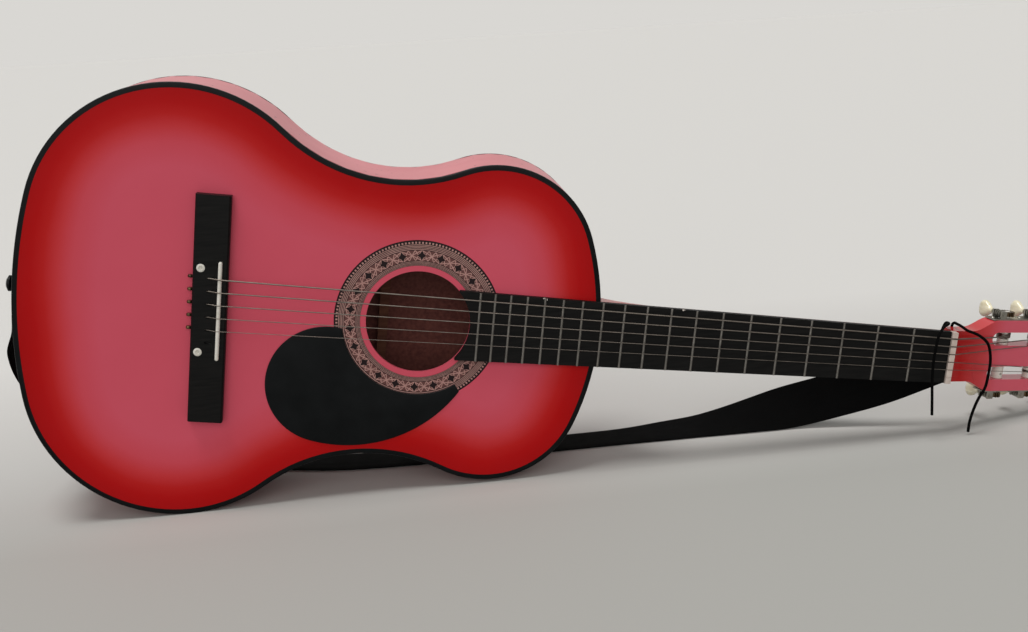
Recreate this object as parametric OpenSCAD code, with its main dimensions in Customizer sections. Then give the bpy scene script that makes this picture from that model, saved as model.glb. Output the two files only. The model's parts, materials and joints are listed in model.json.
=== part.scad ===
// Student acoustic guitar, red-to-pink burst, standing on its treble edge with its strap laid under it.
// Each piece is drawn in the guitar's own frame: x from the tail to the head, y towards the bass side,
// z out of the soundboard, whose face is z = 0. in_place() then stands the guitar on its two bouts,
// the lower one on the floor and the upper one on the strap.

/* [Body] */
// Length of the body from the tail to the neck joint
body_length = 464; // [450:1:480]
// Depth of the body over both plates
body_depth = 85; // [75:1:95]
// Radius of the arc across the tail
tail_radius = 396; // [360:2:460]
// Width across the lower bout
lower_bout_width = 350; // [342:1:358]
// Radius of each lower bout
lower_bout_radius = 117; // [111:1:123]
// Width across the upper bout
upper_bout_width = 265; // [257:1:273]
// Radius of each upper bout
upper_bout_radius = 81; // [76:1:86]
// Radius of the arc across the shoulders
shoulder_radius = 231; // [205:1:270]
// Radius of the hollow on each side of the waist
waist_radius = 134; // [120:1:150]
// Thickness of the soundboard and of the back
plate_thickness = 3; // [2.4:0.1:4]
// Thickness of the bent side ribs
rib_thickness = 2.5; // [2:0.1:3.5]
// Width of the black edge binding
binding_width = 4.3; // [3.5:0.1:6]
// Width of the glue lining inside each edge
lining_width = 8; // [6:0.5:11]
// Height of the glue lining inside each edge
lining_height = 12; // [8:0.5:16]

/* [Blocks and braces] */
// Length of the neck block along the body
neck_block_length = 45; // [40:1:55]
// Width of the neck block
neck_block_width = 64; // [50:1:80]
// Length of the tail block along the body
tail_block_length = 18; // [14:1:24]
// Width of the tail block
tail_block_width = 70; // [50:1:90]
// Width of each brace
brace_width = 8; // [6:0.5:10]
// Height of each brace at its middle
brace_height = 13; // [9:0.5:16]
// Height of each brace at its thinned ends
brace_tip_height = 4; // [2:0.5:6]
// Thickness of the bridge plate under the soundboard
bridge_plate_thickness = 2.5; // [2:0.1:4]

/* [Sound hole] */
// Diameter of the sound hole
hole_diameter = 84; // [78:1:90]
// Distance from the nut-side string length mark at the saddle to the middle of the hole
hole_from_saddle = 155; // [150:1:160]
// Inner diameter of the rosette
rosette_inner = 93; // [92:0.5:100]
// Outer diameter of the rosette
rosette_outer = 135; // [128:0.5:142]
// Thickness of the rosette inlay
rosette_thickness = 0.5; // [0.3:0.1:1]

/* [Bridge] */
// Length of the bridge across the body
bridge_length = 184; // [170:1:196]
// Width of the bridge along the strings
bridge_width = 27; // [25:0.5:32]
// Height of the bridge over the soundboard
bridge_height = 8.5; // [7.5:0.5:10]
// Bevel along the upper edges of the bridge
bridge_bevel = 1.4; // [0.5:0.1:2.5]
// Length of the saddle
saddle_length = 80; // [74:1:90]
// Thickness of the saddle
saddle_thickness = 3; // [2.4:0.1:4]
// Height of the saddle over the bridge
saddle_proud = 2.8; // [2:0.1:4]
// Depth of the saddle's slot
saddle_seat = 4; // [3:0.1:5]
// Distance from the head-side edge of the bridge to the middle of the saddle
saddle_setback = 6; // [5:0.5:8]
// Added string length at the saddle
compensation = 1.5; // [0:0.1:3]
// Distance between neighbouring strings at the bridge
bridge_string_spacing = 10.4; // [9.5:0.1:11]
// Diameter of the string holes through the bridge
string_hole_diameter = 2; // [1.6:0.1:2.6]
// Distance between the two bridge bolts
bolt_spacing = 68; // [64:1:76]
// Distance from the tail-side edge of the bridge to the bolts
bolt_setback = 6; // [5:0.5:7]
// Diameter of the bolts' shanks
bolt_diameter = 4; // [3:0.5:5]
// Diameter of the white caps over the bolts
cap_diameter = 6.6; // [6:0.1:8]

/* [Pickguard] */
// Radius of the round lobe of the pickguard
guard_lobe_radius = 49; // [45:1:53]
// Radius of the sweep from the lobe to the tip
guard_sweep_radius = 111; // [104:1:120]
// Radius of the hollow edge round the sound hole
guard_hollow_radius = 61; // [58:1:64]
// Width of the blunt tip
guard_tip_width = 7; // [4:0.5:10]
// Thickness of the pickguard
guard_thickness = 1; // [0.6:0.1:1.5]
// Distance of the lobe's middle from the middle of the sound hole, towards the tail
guard_lobe_back = 70; // [68:0.5:72]
// Distance of the lobe's middle from the middle of the guitar, towards the treble side
guard_lobe_side = 57.5; // [56:0.5:59]

/* [Neck] */
// String length from the nut to the saddle mark
scale_length = 610; // [596:1:624]
// Width of the neck at the nut
neck_width_nut = 45.5; // [44:0.5:48]
// Width of the neck at the body
neck_width_joint = 54.5; // [52:0.5:58]
// Depth of the neck at the nut
neck_depth_nut = 15; // [13:0.5:17]
// Depth of the neck at the body
neck_depth_joint = 17; // [15:0.5:20]
// Length of the heel along the neck
heel_length = 62; // [50:1:75]
// Gap between the heel's foot and the back of the body
heel_gap = 4; // [2:0.5:8]
// Width of the tenon that holds the neck in its block
tenon_width = 20; // [16:1:26]
// Length of the tenon
tenon_length = 24; // [18:1:30]
// Thickness of the fretboard
fretboard_thickness = 5; // [4:0.5:7]
// Number of frets
fret_count = 19; // [17:1:19]
// Width of a fret's crown
fret_width = 2.2; // [1.8:0.1:2.8]
// Height of a fret's crown
fret_height = 1; // [0.7:0.1:1.4]
// Thickness of the nut
nut_thickness = 5; // [4:0.5:6]
// Height of the nut over the fretboard
nut_proud = 2.4; // [1.8:0.1:3]
// Distance between neighbouring strings at the nut
nut_string_spacing = 6.9; // [6.4:0.1:7.4]

/* [Headstock] */
// Length of the headstock from the nut
head_length = 185; // [175:1:200]
// Width of the headstock
head_width = 64; // [61:0.5:70]
// Thickness of the headstock
head_thickness = 16; // [15:0.5:18]
// Angle by which the headstock leans back
head_tilt = 14; // [10:0.5:16]
// Distance from the nut to the start of the slots
slot_start = 42; // [40:0.5:44]
// Length of the slots
slot_length = 101; // [98:1:104]
// Width of the slots
slot_width = 12; // [11:0.5:13]
// Width of the bar between the slots
bar_width = 19; // [17:0.5:21]
// Radius of the crest at the end of the headstock
crest_radius = 70; // [50:1:120]

/* [Tuning machines] */
// Distance from the nut to the first roller
first_roller = 60; // [59:0.5:62]
// Distance between neighbouring rollers
roller_spacing = 35; // [33:0.5:36]
// Diameter of the rollers
roller_diameter = 10; // [8:0.5:10.5]
// Diameter of the rollers' journals in the plates
journal_diameter = 5; // [4:0.5:6]
// Thickness of the side plates
machine_plate_thickness = 1.2; // [1:0.1:2]
// Width of the side plates
machine_plate_width = 13; // [12.8:0.1:14]
// Number of teeth on each gear
gear_teeth = 14; // [12:1:16]
// Module of the gear and of its worm
gear_module = 0.8; // [0.7:0.05:0.9]
// Thickness of the gears
gear_thickness = 4; // [3:0.5:5]
// Pitch diameter of the worms
worm_pitch_diameter = 5.4; // [5:0.1:6]
// Diameter of the worms' shafts
worm_shaft_diameter = 3; // [2.4:0.1:3.2]
// Length of the tuning buttons
button_length = 17; // [14:1:20]
// Width of the tuning buttons
button_width = 15; // [12:1:17]
// Thickness of the tuning buttons
button_thickness = 7.5; // [6:0.5:9]

/* [Strings and strap] */
// Diameter of the heaviest string
bass_string_diameter = 1.2; // [1:0.05:1.3]
// Diameter of the lightest string that is fitted
treble_string_diameter = 0.5; // [0.4:0.05:0.7]
// Width of the webbing strap
strap_width = 40; // [36:1:44]
// Thickness of the webbing strap
strap_thickness = 2; // [1.5:0.1:2.5]
// Diameter of the end pin's shank
pin_diameter = 8; // [6:0.5:10]
// Diameter of the end pin's head
pin_head_diameter = 13; // [11:0.5:16]
// Diameter of the lace
lace_diameter = 2.5; // [2:0.1:3]

/* [Hidden] */
$fn = 48;

// Clearances
running_clearance = 0.05;
seat_clearance = 0.1;
string_clearance = 0.3;
string_seat = 0.1;
overrun = 1;

// Centres of the outline's arcs, on the bass side
lower_centre_y = lower_bout_width / 2 - lower_bout_radius;
lower_centre_x = tail_radius - sqrt(pow(tail_radius - lower_bout_radius, 2) - pow(lower_centre_y, 2));
shoulder_centre_x = body_length - shoulder_radius;
upper_centre_y = upper_bout_width / 2 - upper_bout_radius;
upper_centre_x = shoulder_centre_x
    + sqrt(pow(shoulder_radius - upper_bout_radius, 2) - pow(upper_centre_y, 2));
tail_centre = [tail_radius, 0];
lower_centre = [lower_centre_x, lower_centre_y];
upper_centre = [upper_centre_x, upper_centre_y];
shoulder_centre = [shoulder_centre_x, 0];
waist_centre = circles_meet(
    lower_centre, lower_bout_radius + waist_radius, upper_centre, upper_bout_radius + waist_radius, 1);

// Directions in which neighbouring arcs touch
tail_turn = direction(lower_centre - tail_centre);
lower_turn = direction(waist_centre - lower_centre);
upper_turn = direction(waist_centre - upper_centre);
shoulder_turn = direction(upper_centre - shoulder_centre);

// Places along the strings
x_saddle_mark = body_length - scale_length / 2;
x_saddle = x_saddle_mark - compensation;
x_hole = x_saddle_mark + hole_from_saddle;
x_nut = body_length + scale_length / 2;
x_head = x_nut + nut_thickness;
x_bridge_front = x_saddle + saddle_setback;
x_bridge_tail = x_bridge_front - bridge_width;
x_bridge_middle = (x_bridge_front + x_bridge_tail) / 2;
x_bolts = x_bridge_tail + bolt_setback;
string_count = 6;
fitted_strings = 5;
z_string_entry = 3.5;
ball_wall = 1.1;
ball_diameter = string_hole_diameter + 2 * ball_wall;
ball_width = 3.2;
x_ball = x_bridge_tail - ball_diameter / 2 - seat_clearance;
string_rise = atan2(bridge_height - z_string_entry, x_bridge_middle - x_bridge_tail);
z_ball = z_string_entry - (x_bridge_tail - x_ball) * tan(string_rise);
z_nut_top = fretboard_thickness + nut_proud;
nut_groove_depth = 0.8;

// Bolts and caps of the bridge
bolt_head_height = 2;
cap_height = 1.2;
cap_rise = 0.4;
bolt_nut_height = 3.2;
bolt_nut_width = 7;
bridge_plate_length = 160;
bridge_plate_width = 42;

// Pickguard, from the middle of the sound hole
guard_lobe_centre = [x_hole - guard_lobe_back, -guard_lobe_side];
guard_sweep_lean = 13;
guard_sweep_centre = guard_lobe_centre
    + (guard_sweep_radius - guard_lobe_radius) * [sin(guard_sweep_lean), cos(guard_sweep_lean)];
guard_tip_radius = guard_hollow_radius + guard_tip_width;
guard_shoulder = circles_meet(
    guard_lobe_centre, guard_lobe_radius, [x_hole, 0], guard_hollow_radius, 1);
guard_tip = circles_meet(guard_sweep_centre, guard_sweep_radius, [x_hole, 0], guard_tip_radius, -1);

// Neck
neck_radius_nut = segment_radius(neck_width_nut, neck_depth_nut);
neck_radius_joint = segment_radius(neck_width_joint, neck_depth_joint);
neck_axis_nut = neck_radius_nut - neck_depth_nut;
neck_axis_joint = neck_radius_joint - neck_depth_joint;
shaft_length = x_head - body_length;
shaft_lean = atan2(neck_axis_joint - neck_axis_nut, shaft_length);
joint_overrun = 6;
heel_depth = body_depth - heel_gap;
heel_steps = 6;
heel_sides = 14;
heel_curve = 2.2;
heel_tuck = 0.22;
heel_sink = 2;
heel_taper = 1.5;
heel_slice = 0.1;
tenon_top = 18;
tenon_foot = 14;

// Headstock, in its own frame: u along it, v towards the bass side, w out of its face
flare_start = 20;
flare_end = 47;
flare_points = 8;
slot_centre = (bar_width + slot_width) / 2;
crest_centre = head_length - crest_radius;
crest_half_angle = asin(head_width / 2 / crest_radius);

// Tuning machines
roller_radius = roller_diameter / 2;
roller_depth = 4.5;
w_axis = -head_thickness / 2;
gear_pitch_radius = gear_module * gear_teeth / 2;
tooth_rise = 0.85 * gear_module;
tooth_fall = 1.1 * gear_module;
gear_tip_radius = gear_pitch_radius + tooth_rise;
gear_root_radius = gear_pitch_radius - tooth_fall;
worm_pitch_radius = worm_pitch_diameter / 2;
worm_tip_radius = worm_pitch_radius + tooth_rise;
worm_root_radius = worm_pitch_radius - tooth_fall;
thread_sink = 0.25;
machine_centres = gear_pitch_radius + worm_pitch_radius;
tooth_pitch = PI * gear_module;
tooth_width = 0.34 * tooth_pitch;
tooth_slope = 0.22;
worm_room = 0.35;
v_plate = head_width / 2;
v_worm = v_plate + machine_plate_thickness + worm_room + max(worm_tip_radius, gear_thickness / 2);
v_gear = v_worm - gear_thickness / 2;
worm_turns = 2.5;
worm_half = (worm_turns * tooth_pitch + tooth_pitch) / 2;
lug_gap = 0.25;
lug_thickness = 1.6;
lug_half_width = 2.9;
w_lug = worm_half + lug_gap;
plate_margin = 3;
button_gap = 2.5;
button_seat = 9;
button_collar = 2;
button_lip = 0.3;
button_round = 75;
w_button = w_axis - w_lug - lug_thickness - button_gap;

// End pin
pin_depth = 20;
pin_reach = 14;
pin_head_height = 5;
tab_gap = 1;
tab_thickness = 3;
tab_hole_diameter = 0.8 * pin_diameter + 4 * seat_clearance;
tab_length = 34;

// Standing pose: the lower bout on the floor, the upper bout on the strap
bout_lift = strap_thickness + 2 * string_clearance;
bout_step_x = upper_centre_x - lower_centre_x;
bout_step_y = lower_centre_y - upper_centre_y;
rest_tilt = atan2(bout_step_y, bout_step_x)
    + asin((lower_bout_radius - upper_bout_radius - bout_lift) / norm([bout_step_x, bout_step_y]));
rest_height = lower_centre_x * sin(rest_tilt) + lower_centre_y * cos(rest_tilt) + lower_bout_radius;
crest_lean = cos(head_tilt) * cos(rest_tilt);
reach_left = pin_reach * cos(rest_tilt) + pin_head_diameter / 2 * sin(rest_tilt);
reach_right = x_head * cos(rest_tilt) + crest_centre * crest_lean
    + crest_radius * norm([crest_lean, sin(rest_tilt)]);
reach_front = bridge_height + saddle_proud - string_seat + bass_string_diameter;
x_middle = (reach_right - reach_left) / 2;
y_middle = (body_depth - reach_front) / 2;

// Route of the strap in the standing frame: points along its middle, and the way its width lies there
strap_route = [
    [-472, 6, 173], [-474, 6, 160], [-480, 9, 145], [-481, 16, 129], [-478, 34, 112], [-470, 62, 96],
    [-452, 82, 78], [-424, 92, 58], [-390, 94, 36], [-352, 89, 17], [-312, 77, 6], [-270, 60, 2.2],
    [-230, 48, 1.3], [-190, 43, 1.3], [-150, 41, 1.3], [-100, 40, 1.3], [-40, 40, 1.3], [20, 40, 1.4],
    [60, 39, 3.1], [92, 38, 4.8], [120, 36, 8.2], [145, 33, 12.5], [180, 26, 19.6], [215, 15, 29.5],
    [250, 2, 41], [280, -8, 53], [300, -12, 60]
];
strap_spread = [
    [0, 1, 0], [0, 1, 0], [0, 1, 0], [0, 1, 0.05], [0.1, 0.97, 0.2], [0.15, 0.95, 0.28],
    [0.2, 0.92, 0.34], [0.2, 0.9, 0.38], [0.15, 0.92, 0.34], [0.1, 0.96, 0.24], [0.1, 1, 0.1], [0, 1, 0.03],
    [0, 1, 0], [0, 1, 0], [0, 1, 0], [0, 1, 0], [0, 1, 0], [0, 1, 0.01],
    [0, 0.99, 0.09], [0, 0.98, 0.17], [0, 0.94, 0.34], [0, 0.83, 0.55], [0, 0.5, 0.87], [0, 0.3, 0.95],
    [0, 0.14, 0.99], [0, 0.04, 1], [0, 0, 1]
];

// Route of the lace in the standing frame: over the neck beside the nut, through the strap and back over
lace_route = [
    [277, -52, 25], [277, -52, 40], [277, -52, 56], [278, -52, 72], [280, -52, 84], [283, -50, 93],
    [287, -47, 98], [292, -42, 100], [298, -36, 100], [301, -29, 99], [302, -21, 97], [302, -15, 91],
    [300, -12, 81], [296, -12, 70], [294, -10, 62], [297, -7, 56.5], [302, -6, 56], [306, -7, 62],
    [309, -8, 72], [310, -11, 83], [310, -16, 93], [309, -23, 97], [308, -30, 98], [309, -38, 97.5],
    [311, -45, 95.5], [315, -50, 94], [320, -52, 91], [326, -52, 85], [329, -51, 77], [330, -50, 66],
    [329, -48, 53], [327, -47, 43], [322, -46, 34], [318, -45, 24], [315, -44, 13], [314, -43, 3]
];

// Functions

function direction(v) = atan2(v[1], v[0]);

function arc(centre, radius, from, to, steps) =
    [for (i = [0:steps]) let (a = from + (to - from) * i / steps) centre + radius * [cos(a), sin(a)]];

function but_last(list) = [for (i = [0:len(list) - 2]) list[i]];

function mirrored(list) = [for (i = [len(list) - 1:-1:0]) [list[i][0], -list[i][1]]];

// Where two circles cross, on the left (side 1) or right (side -1) of the line between their centres
function circles_meet(c1, r1, c2, r2, side) =
    let (span = norm(c2 - c1), along = (c2 - c1) / span)
    let (foot = (r1 * r1 - r2 * r2 + span * span) / (2 * span))
    c1 + foot * along + side * sqrt(r1 * r1 - foot * foot) * [-along[1], along[0]];

// Radius of a circular segment from its chord and its depth
function segment_radius(chord, depth) = (chord * chord / 4 + depth * depth) / (2 * depth);

// Bass half of the body's outline, moved inwards by inset
function half_outline(inset) = concat(
    but_last(arc(tail_centre, tail_radius - inset, 180, tail_turn, 6)),
    but_last(arc(lower_centre, lower_bout_radius - inset, tail_turn, lower_turn, 14)),
    but_last(arc(waist_centre, waist_radius + inset, lower_turn - 180, upper_turn - 180, 8)),
    but_last(arc(upper_centre, upper_bout_radius - inset, upper_turn, shoulder_turn, 10)),
    but_last(arc(shoulder_centre, shoulder_radius - inset, shoulder_turn, 0, 4)),
    [[body_length - inset, 0]]
);

function outline(inset) =
    let (half = half_outline(inset))
    concat(half, but_last([for (i = [1:len(half) - 1]) mirrored(half)[i]]));

// Half the body's width at x, inside the given inset
function half_width(x, inset) =
    x < tail_radius + tail_radius * cos(tail_turn)
        ? sqrt(pow(tail_radius - inset, 2) - pow(x - tail_radius, 2))
    : x < lower_centre_x + lower_bout_radius * cos(lower_turn)
        ? lower_centre_y + sqrt(pow(lower_bout_radius - inset, 2) - pow(x - lower_centre_x, 2))
    : x < upper_centre_x + upper_bout_radius * cos(upper_turn)
        ? waist_centre[1] - sqrt(pow(waist_radius + inset, 2) - pow(x - waist_centre[0], 2))
    : upper_centre_y + sqrt(pow(upper_bout_radius - inset, 2) - pow(x - upper_centre_x, 2));

function fret_x(n) = x_nut - scale_length * (1 - pow(2, -n / 12));

function board_half_width(x) =
    (neck_width_nut + (neck_width_joint - neck_width_nut) * (x_nut - x) / (x_nut - body_length)) / 2;

// A point of the headstock's frame in the guitar's frame
function head_point(u, v, w) =
    [x_head + u * cos(head_tilt) + w * sin(head_tilt), v, -u * sin(head_tilt) + w * cos(head_tilt)];

// String and machine k run from 0, the heaviest, to 5
function string_diameter(k) =
    bass_string_diameter + (treble_string_diameter - bass_string_diameter) * k / (fitted_strings - 1);
function string_place(k, spacing) = ((string_count - 1) / 2 - k) * spacing;
function machine_side(k) = k < 3 ? 1 : -1;
function machine_row(k) = k < 3 ? k : 5 - k;
function roller_u(k) = first_roller + machine_row(k) * roller_spacing;
function winding_v(k) = slot_centre + (1 - machine_row(k)) * slot_width / 6;

// Points along string k, from the ball to the roller
function string_points(k) =
    let (r = string_diameter(k) / 2)
    let (y_bridge = string_place(k, bridge_string_spacing), y_nut = string_place(k, nut_string_spacing))
    [
        [x_ball, y_bridge, z_ball],
        [x_bridge_middle, y_bridge, bridge_height],
        [x_saddle, y_bridge, bridge_height + saddle_proud - string_seat + r],
        [x_head, y_nut, z_nut_top - nut_groove_depth - string_seat + r],
        head_point(roller_u(k), machine_side(k) * winding_v(k),
            w_axis + roller_radius + string_diameter(k) + string_clearance / 2 + r)
    ];

// Frame across a route at point i: unit vectors along it, and across it on both sides
function along(route, i) =
    let (step = route[min(i + 1, len(route) - 1)] - route[max(i - 1, 0)])
    step / norm(step);
function across(route, i) =
    let (t = along(route, i), flat = cross(t, abs(t[2]) > 0.9 ? [1, 0, 0] : [0, 0, 1]))
    flat / norm(flat);

// Rings of points along a route, closed into one solid
module sweep(rings) {
    sides = len(rings[0]);
    last = len(rings) - 1;
    polyhedron(
        points = [for (ring = rings) for (p = ring) p],
        faces = concat(
            [[for (j = [0:sides - 1]) j]],
            [for (i = [0:last - 1]) for (j = [0:sides - 1]) let (k = (j + 1) % sides)
                each [
                    [i * sides + j, (i + 1) * sides + j, i * sides + k],
                    [i * sides + k, (i + 1) * sides + j, (i + 1) * sides + k]
                ]],
            [[for (j = [sides - 1:-1:0]) last * sides + j]]
        ),
        convexity = 10
    );
}

// Round tube along a route, each ring square to the route
module tube(route, diameter, sides) {
    sweep([
        for (i = [0:len(route) - 1])
            let (t = along(route, i), a = across(route, i), b = cross(t, a))
            [for (j = [0:sides - 1])
                route[i] + diameter / 2 * (cos(360 * j / sides) * a + sin(360 * j / sides) * b)]
    ]);
}

// Flat webbing along a route, whose width lies along the given spread
module webbing(route, spread, width, thickness) {
    sweep([
        for (i = [0:len(route) - 1])
            let (t = along(route, i), raw = spread[i] - (spread[i] * t) * t)
            let (a = raw / norm(raw) * width / 2, b = cross(t, raw / norm(raw)) * thickness / 2)
            [route[i] - a - b, route[i] + a - b, route[i] + a + b, route[i] - a + b]
    ]);
}

// Stands the guitar on its treble edge, with the soundboard facing -Y and the head towards +X
module in_place() {
    translate([-x_middle, -y_middle, rest_height]) rotate([0, rest_tilt, 0]) rotate([90, 0, 0]) children();
}

module on_head() {
    translate([x_head, 0, 0]) rotate([0, head_tilt, 0]) children();
}

// One machine's place: roller axis at the origin, y pointing out of the headstock's side
module on_machine(k) {
    on_head() mirror([0, machine_side(k) > 0 ? 0 : 1, 0]) translate([roller_u(k), 0, w_axis]) children();
}

// The body's outline as a slab from z upwards
module slab(inset, z, height) {
    translate([0, 0, z]) linear_extrude(height) polygon(outline(inset));
}

// A band along the body's edge between two insets
module band(outer, inner, z, height) {
    translate([0, 0, z]) linear_extrude(height) difference() {
        polygon(outline(outer));
        polygon(outline(inner));
    }
}

module at_bolts() {
    for (side = [-1, 1]) translate([x_bolts, side * bolt_spacing / 2, 0]) children();
}

module bolt_holes(z, height) {
    at_bolts() translate([0, 0, z]) cylinder(d = bolt_diameter + 2 * seat_clearance, h = height);
}

module pin_hole() {
    translate([-overrun, 0, -body_depth / 2]) rotate([0, 90, 0])
        cylinder(d = pin_diameter, h = pin_depth + 2 * overrun);
}

module tenon(gap) {
    tall = heel_depth - tenon_top - tenon_foot;
    translate([body_length - tenon_length - gap, -tenon_width / 2 - gap, tenon_foot - heel_depth - gap])
        cube([tenon_length + joint_overrun + gap, tenon_width + 2 * gap, tall + 2 * gap]);
}

// Body

module soundboard() {
    color("palevioletred") in_place() difference() {
        slab(binding_width, -plate_thickness, plate_thickness);
        translate([x_hole, 0, -plate_thickness - overrun])
            cylinder(d = hole_diameter, h = plate_thickness + 2 * overrun, $fn = 96);
        translate([x_hole, 0, -rosette_thickness]) difference() {
            cylinder(d = rosette_outer, h = rosette_thickness + overrun, $fn = 96);
            translate([0, 0, -overrun])
                cylinder(d = rosette_inner, h = rosette_thickness + 3 * overrun, $fn = 96);
        }
        bolt_holes(-plate_thickness - overrun, plate_thickness + 2 * overrun);
    }
}

module rosette() {
    color("rosybrown") in_place() translate([x_hole, 0, -rosette_thickness]) difference() {
        cylinder(d = rosette_outer, h = rosette_thickness, $fn = 96);
        translate([0, 0, -overrun])
            cylinder(d = rosette_inner, h = rosette_thickness + 2 * overrun, $fn = 96);
    }
}

module back_plate() {
    color("pink") in_place() slab(binding_width, -body_depth, plate_thickness);
}

module rib(side) {
    color("lightpink") in_place() difference() {
        translate([0, 0, plate_thickness - body_depth])
            linear_extrude(body_depth - 2 * plate_thickness) intersection() {
                difference() {
                    polygon(outline(0));
                    polygon(outline(rib_thickness));
                }
                translate([-overrun, side > 0 ? 0 : -lower_bout_width])
                    square([body_length + 2 * overrun, lower_bout_width]);
            }
        tenon(seat_clearance);
        pin_hole();
    }
}

module top_binding() {
    color("black") in_place() band(0, binding_width, -plate_thickness, plate_thickness);
}

module back_binding() {
    color("black") in_place() band(0, binding_width, -body_depth, plate_thickness);
}

module lining(z) {
    color("burlywood") in_place() difference() {
        band(rib_thickness, rib_thickness + lining_width, z, lining_height);
        block_room(neck_block_width, body_length - neck_block_length, z);
        block_room(tail_block_width, -tail_block_length, z);
    }
}

// The stretch of the lining that gives way to a block
module block_room(width, x, z) {
    translate([x, -width / 2, z - overrun])
        cube([x > 0 ? neck_block_length : 3 * tail_block_length, width, lining_height + 2 * overrun]);
}

// A block between the plates, fitted to the inside of the ribs
module block(x, length, width) {
    translate([0, 0, plate_thickness - body_depth])
        linear_extrude(body_depth - 2 * plate_thickness) intersection() {
            polygon(outline(rib_thickness));
            translate([x, -width / 2]) square([length, width]);
        }
}

module neck_block() {
    color("tan") in_place() difference() {
        block(body_length - neck_block_length, neck_block_length, neck_block_width);
        tenon(seat_clearance);
    }
}

module tail_block() {
    color("tan") in_place() difference() {
        block(0, tail_block_length, tail_block_width);
        pin_hole();
    }
}

// A bar across a plate, thinned towards its ends; up is 1 on the back and -1 under the soundboard
module brace(x, z, up) {
    inset = rib_thickness + lining_width + overrun;
    half = min(half_width(x - brace_width / 2, inset), half_width(x + brace_width / 2, inset));
    thinned = half / 3;
    translate([x - brace_width / 2, 0, z]) rotate([90, 0, 90]) linear_extrude(brace_width) polygon([
        [-half, 0], [half, 0], [half, up * brace_tip_height], [half - thinned, up * brace_height],
        [thinned - half, up * brace_height], [-half, up * brace_tip_height]
    ]);
}

module top_braces() {
    hole_radius = hole_diameter / 2;
    color("burlywood") in_place() {
        brace(x_hole + hole_radius + 3 * brace_width, -plate_thickness, -1);
        brace(x_hole - hole_radius - 3 * brace_width, -plate_thickness, -1);
        brace(x_bridge_tail - bridge_plate_width - brace_width, -plate_thickness, -1);
    }
}

module back_braces() {
    color("burlywood") in_place() for (x = [lower_centre_x, waist_centre[0], upper_centre_x])
        brace(x, plate_thickness - body_depth, 1);
}

module bridge_plate() {
    color("burlywood") in_place() difference() {
        translate([x_bridge_middle - bridge_plate_width / 2, -bridge_plate_length / 2,
                -plate_thickness - bridge_plate_thickness])
            cube([bridge_plate_width, bridge_plate_length, bridge_plate_thickness]);
        bolt_holes(-plate_thickness - bridge_plate_thickness - overrun, bridge_plate_thickness + 2 * overrun);
    }
}

// Bridge

module bridge() {
    profile = [
        [x_bridge_tail, 0], [x_bridge_front, 0], [x_bridge_front, bridge_height - bridge_bevel],
        [x_bridge_front - bridge_bevel, bridge_height], [x_bridge_tail + bridge_bevel, bridge_height],
        [x_bridge_tail, bridge_height - bridge_bevel]
    ];
    hole_length = bridge_width / 2 / cos(string_rise);
    slot_wide = saddle_thickness + 2 * seat_clearance;
    slot_long = saddle_length + 2 * seat_clearance;
    color([0.1, 0.1, 0.11]) in_place() difference() {
        rotate([90, 0, 0]) linear_extrude(bridge_length, center = true) polygon(profile);
        translate([x_saddle - slot_wide / 2, -slot_long / 2, bridge_height - saddle_seat])
            cube([slot_wide, slot_long, saddle_seat + overrun]);
        for (k = [0:string_count - 1])
            translate([x_bridge_tail, string_place(k, bridge_string_spacing), z_string_entry])
                rotate([0, 90 - string_rise, 0]) translate([0, 0, -3 * overrun])
                cylinder(d = string_hole_diameter, h = hole_length + 6 * overrun);
        bolt_holes(-overrun, bridge_height + overrun);
        at_bolts() translate([0, 0, bridge_height - cap_height + cap_rise - bolt_head_height])
            cylinder(d = cap_diameter + 2 * seat_clearance, h = bolt_head_height + cap_height);
    }
}

module saddle() {
    crown = saddle_thickness / 2;
    tall = saddle_seat + saddle_proud - crown;
    color("ivory") in_place() translate([x_saddle, 0, bridge_height - saddle_seat])
        rotate([90, 0, 0]) linear_extrude(saddle_length, center = true)
        polygon(concat([[-crown, 0], [crown, 0]], arc([0, tall], crown, 0, 180, 10)));
}

module bridge_bolts() {
    top = bridge_height - cap_height + cap_rise;
    foot = -plate_thickness - bridge_plate_thickness;
    color("silver") in_place() at_bolts() {
        translate([0, 0, top - bolt_head_height]) cylinder(d = cap_diameter, h = bolt_head_height);
        translate([0, 0, foot - bolt_nut_height - overrun])
            cylinder(d = bolt_diameter, h = top - foot + bolt_nut_height);
        translate([0, 0, foot - bolt_nut_height]) cylinder(d = bolt_nut_width, h = bolt_nut_height, $fn = 6);
    }
}

module bridge_caps() {
    color("white") in_place() at_bolts() translate([0, 0, bridge_height - cap_height + cap_rise])
        cylinder(d = cap_diameter, h = cap_height);
}

module pickguard() {
    start = direction(guard_shoulder - guard_lobe_centre);
    turn = 270 - guard_sweep_lean;
    tip_turn = direction(guard_tip - guard_sweep_centre) + 360;
    hollow_start = direction(guard_tip - [x_hole, 0]) + 360;
    hollow_end = direction(guard_shoulder - [x_hole, 0]) + 360;
    color([0.08, 0.09, 0.1]) in_place() linear_extrude(guard_thickness) polygon(concat(
        but_last(arc(guard_lobe_centre, guard_lobe_radius, start, turn, 22)),
        arc(guard_sweep_centre, guard_sweep_radius, turn, tip_turn, 14),
        but_last(arc([x_hole, 0], guard_hollow_radius, hollow_start, hollow_end, 16))
    ));
}

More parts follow.
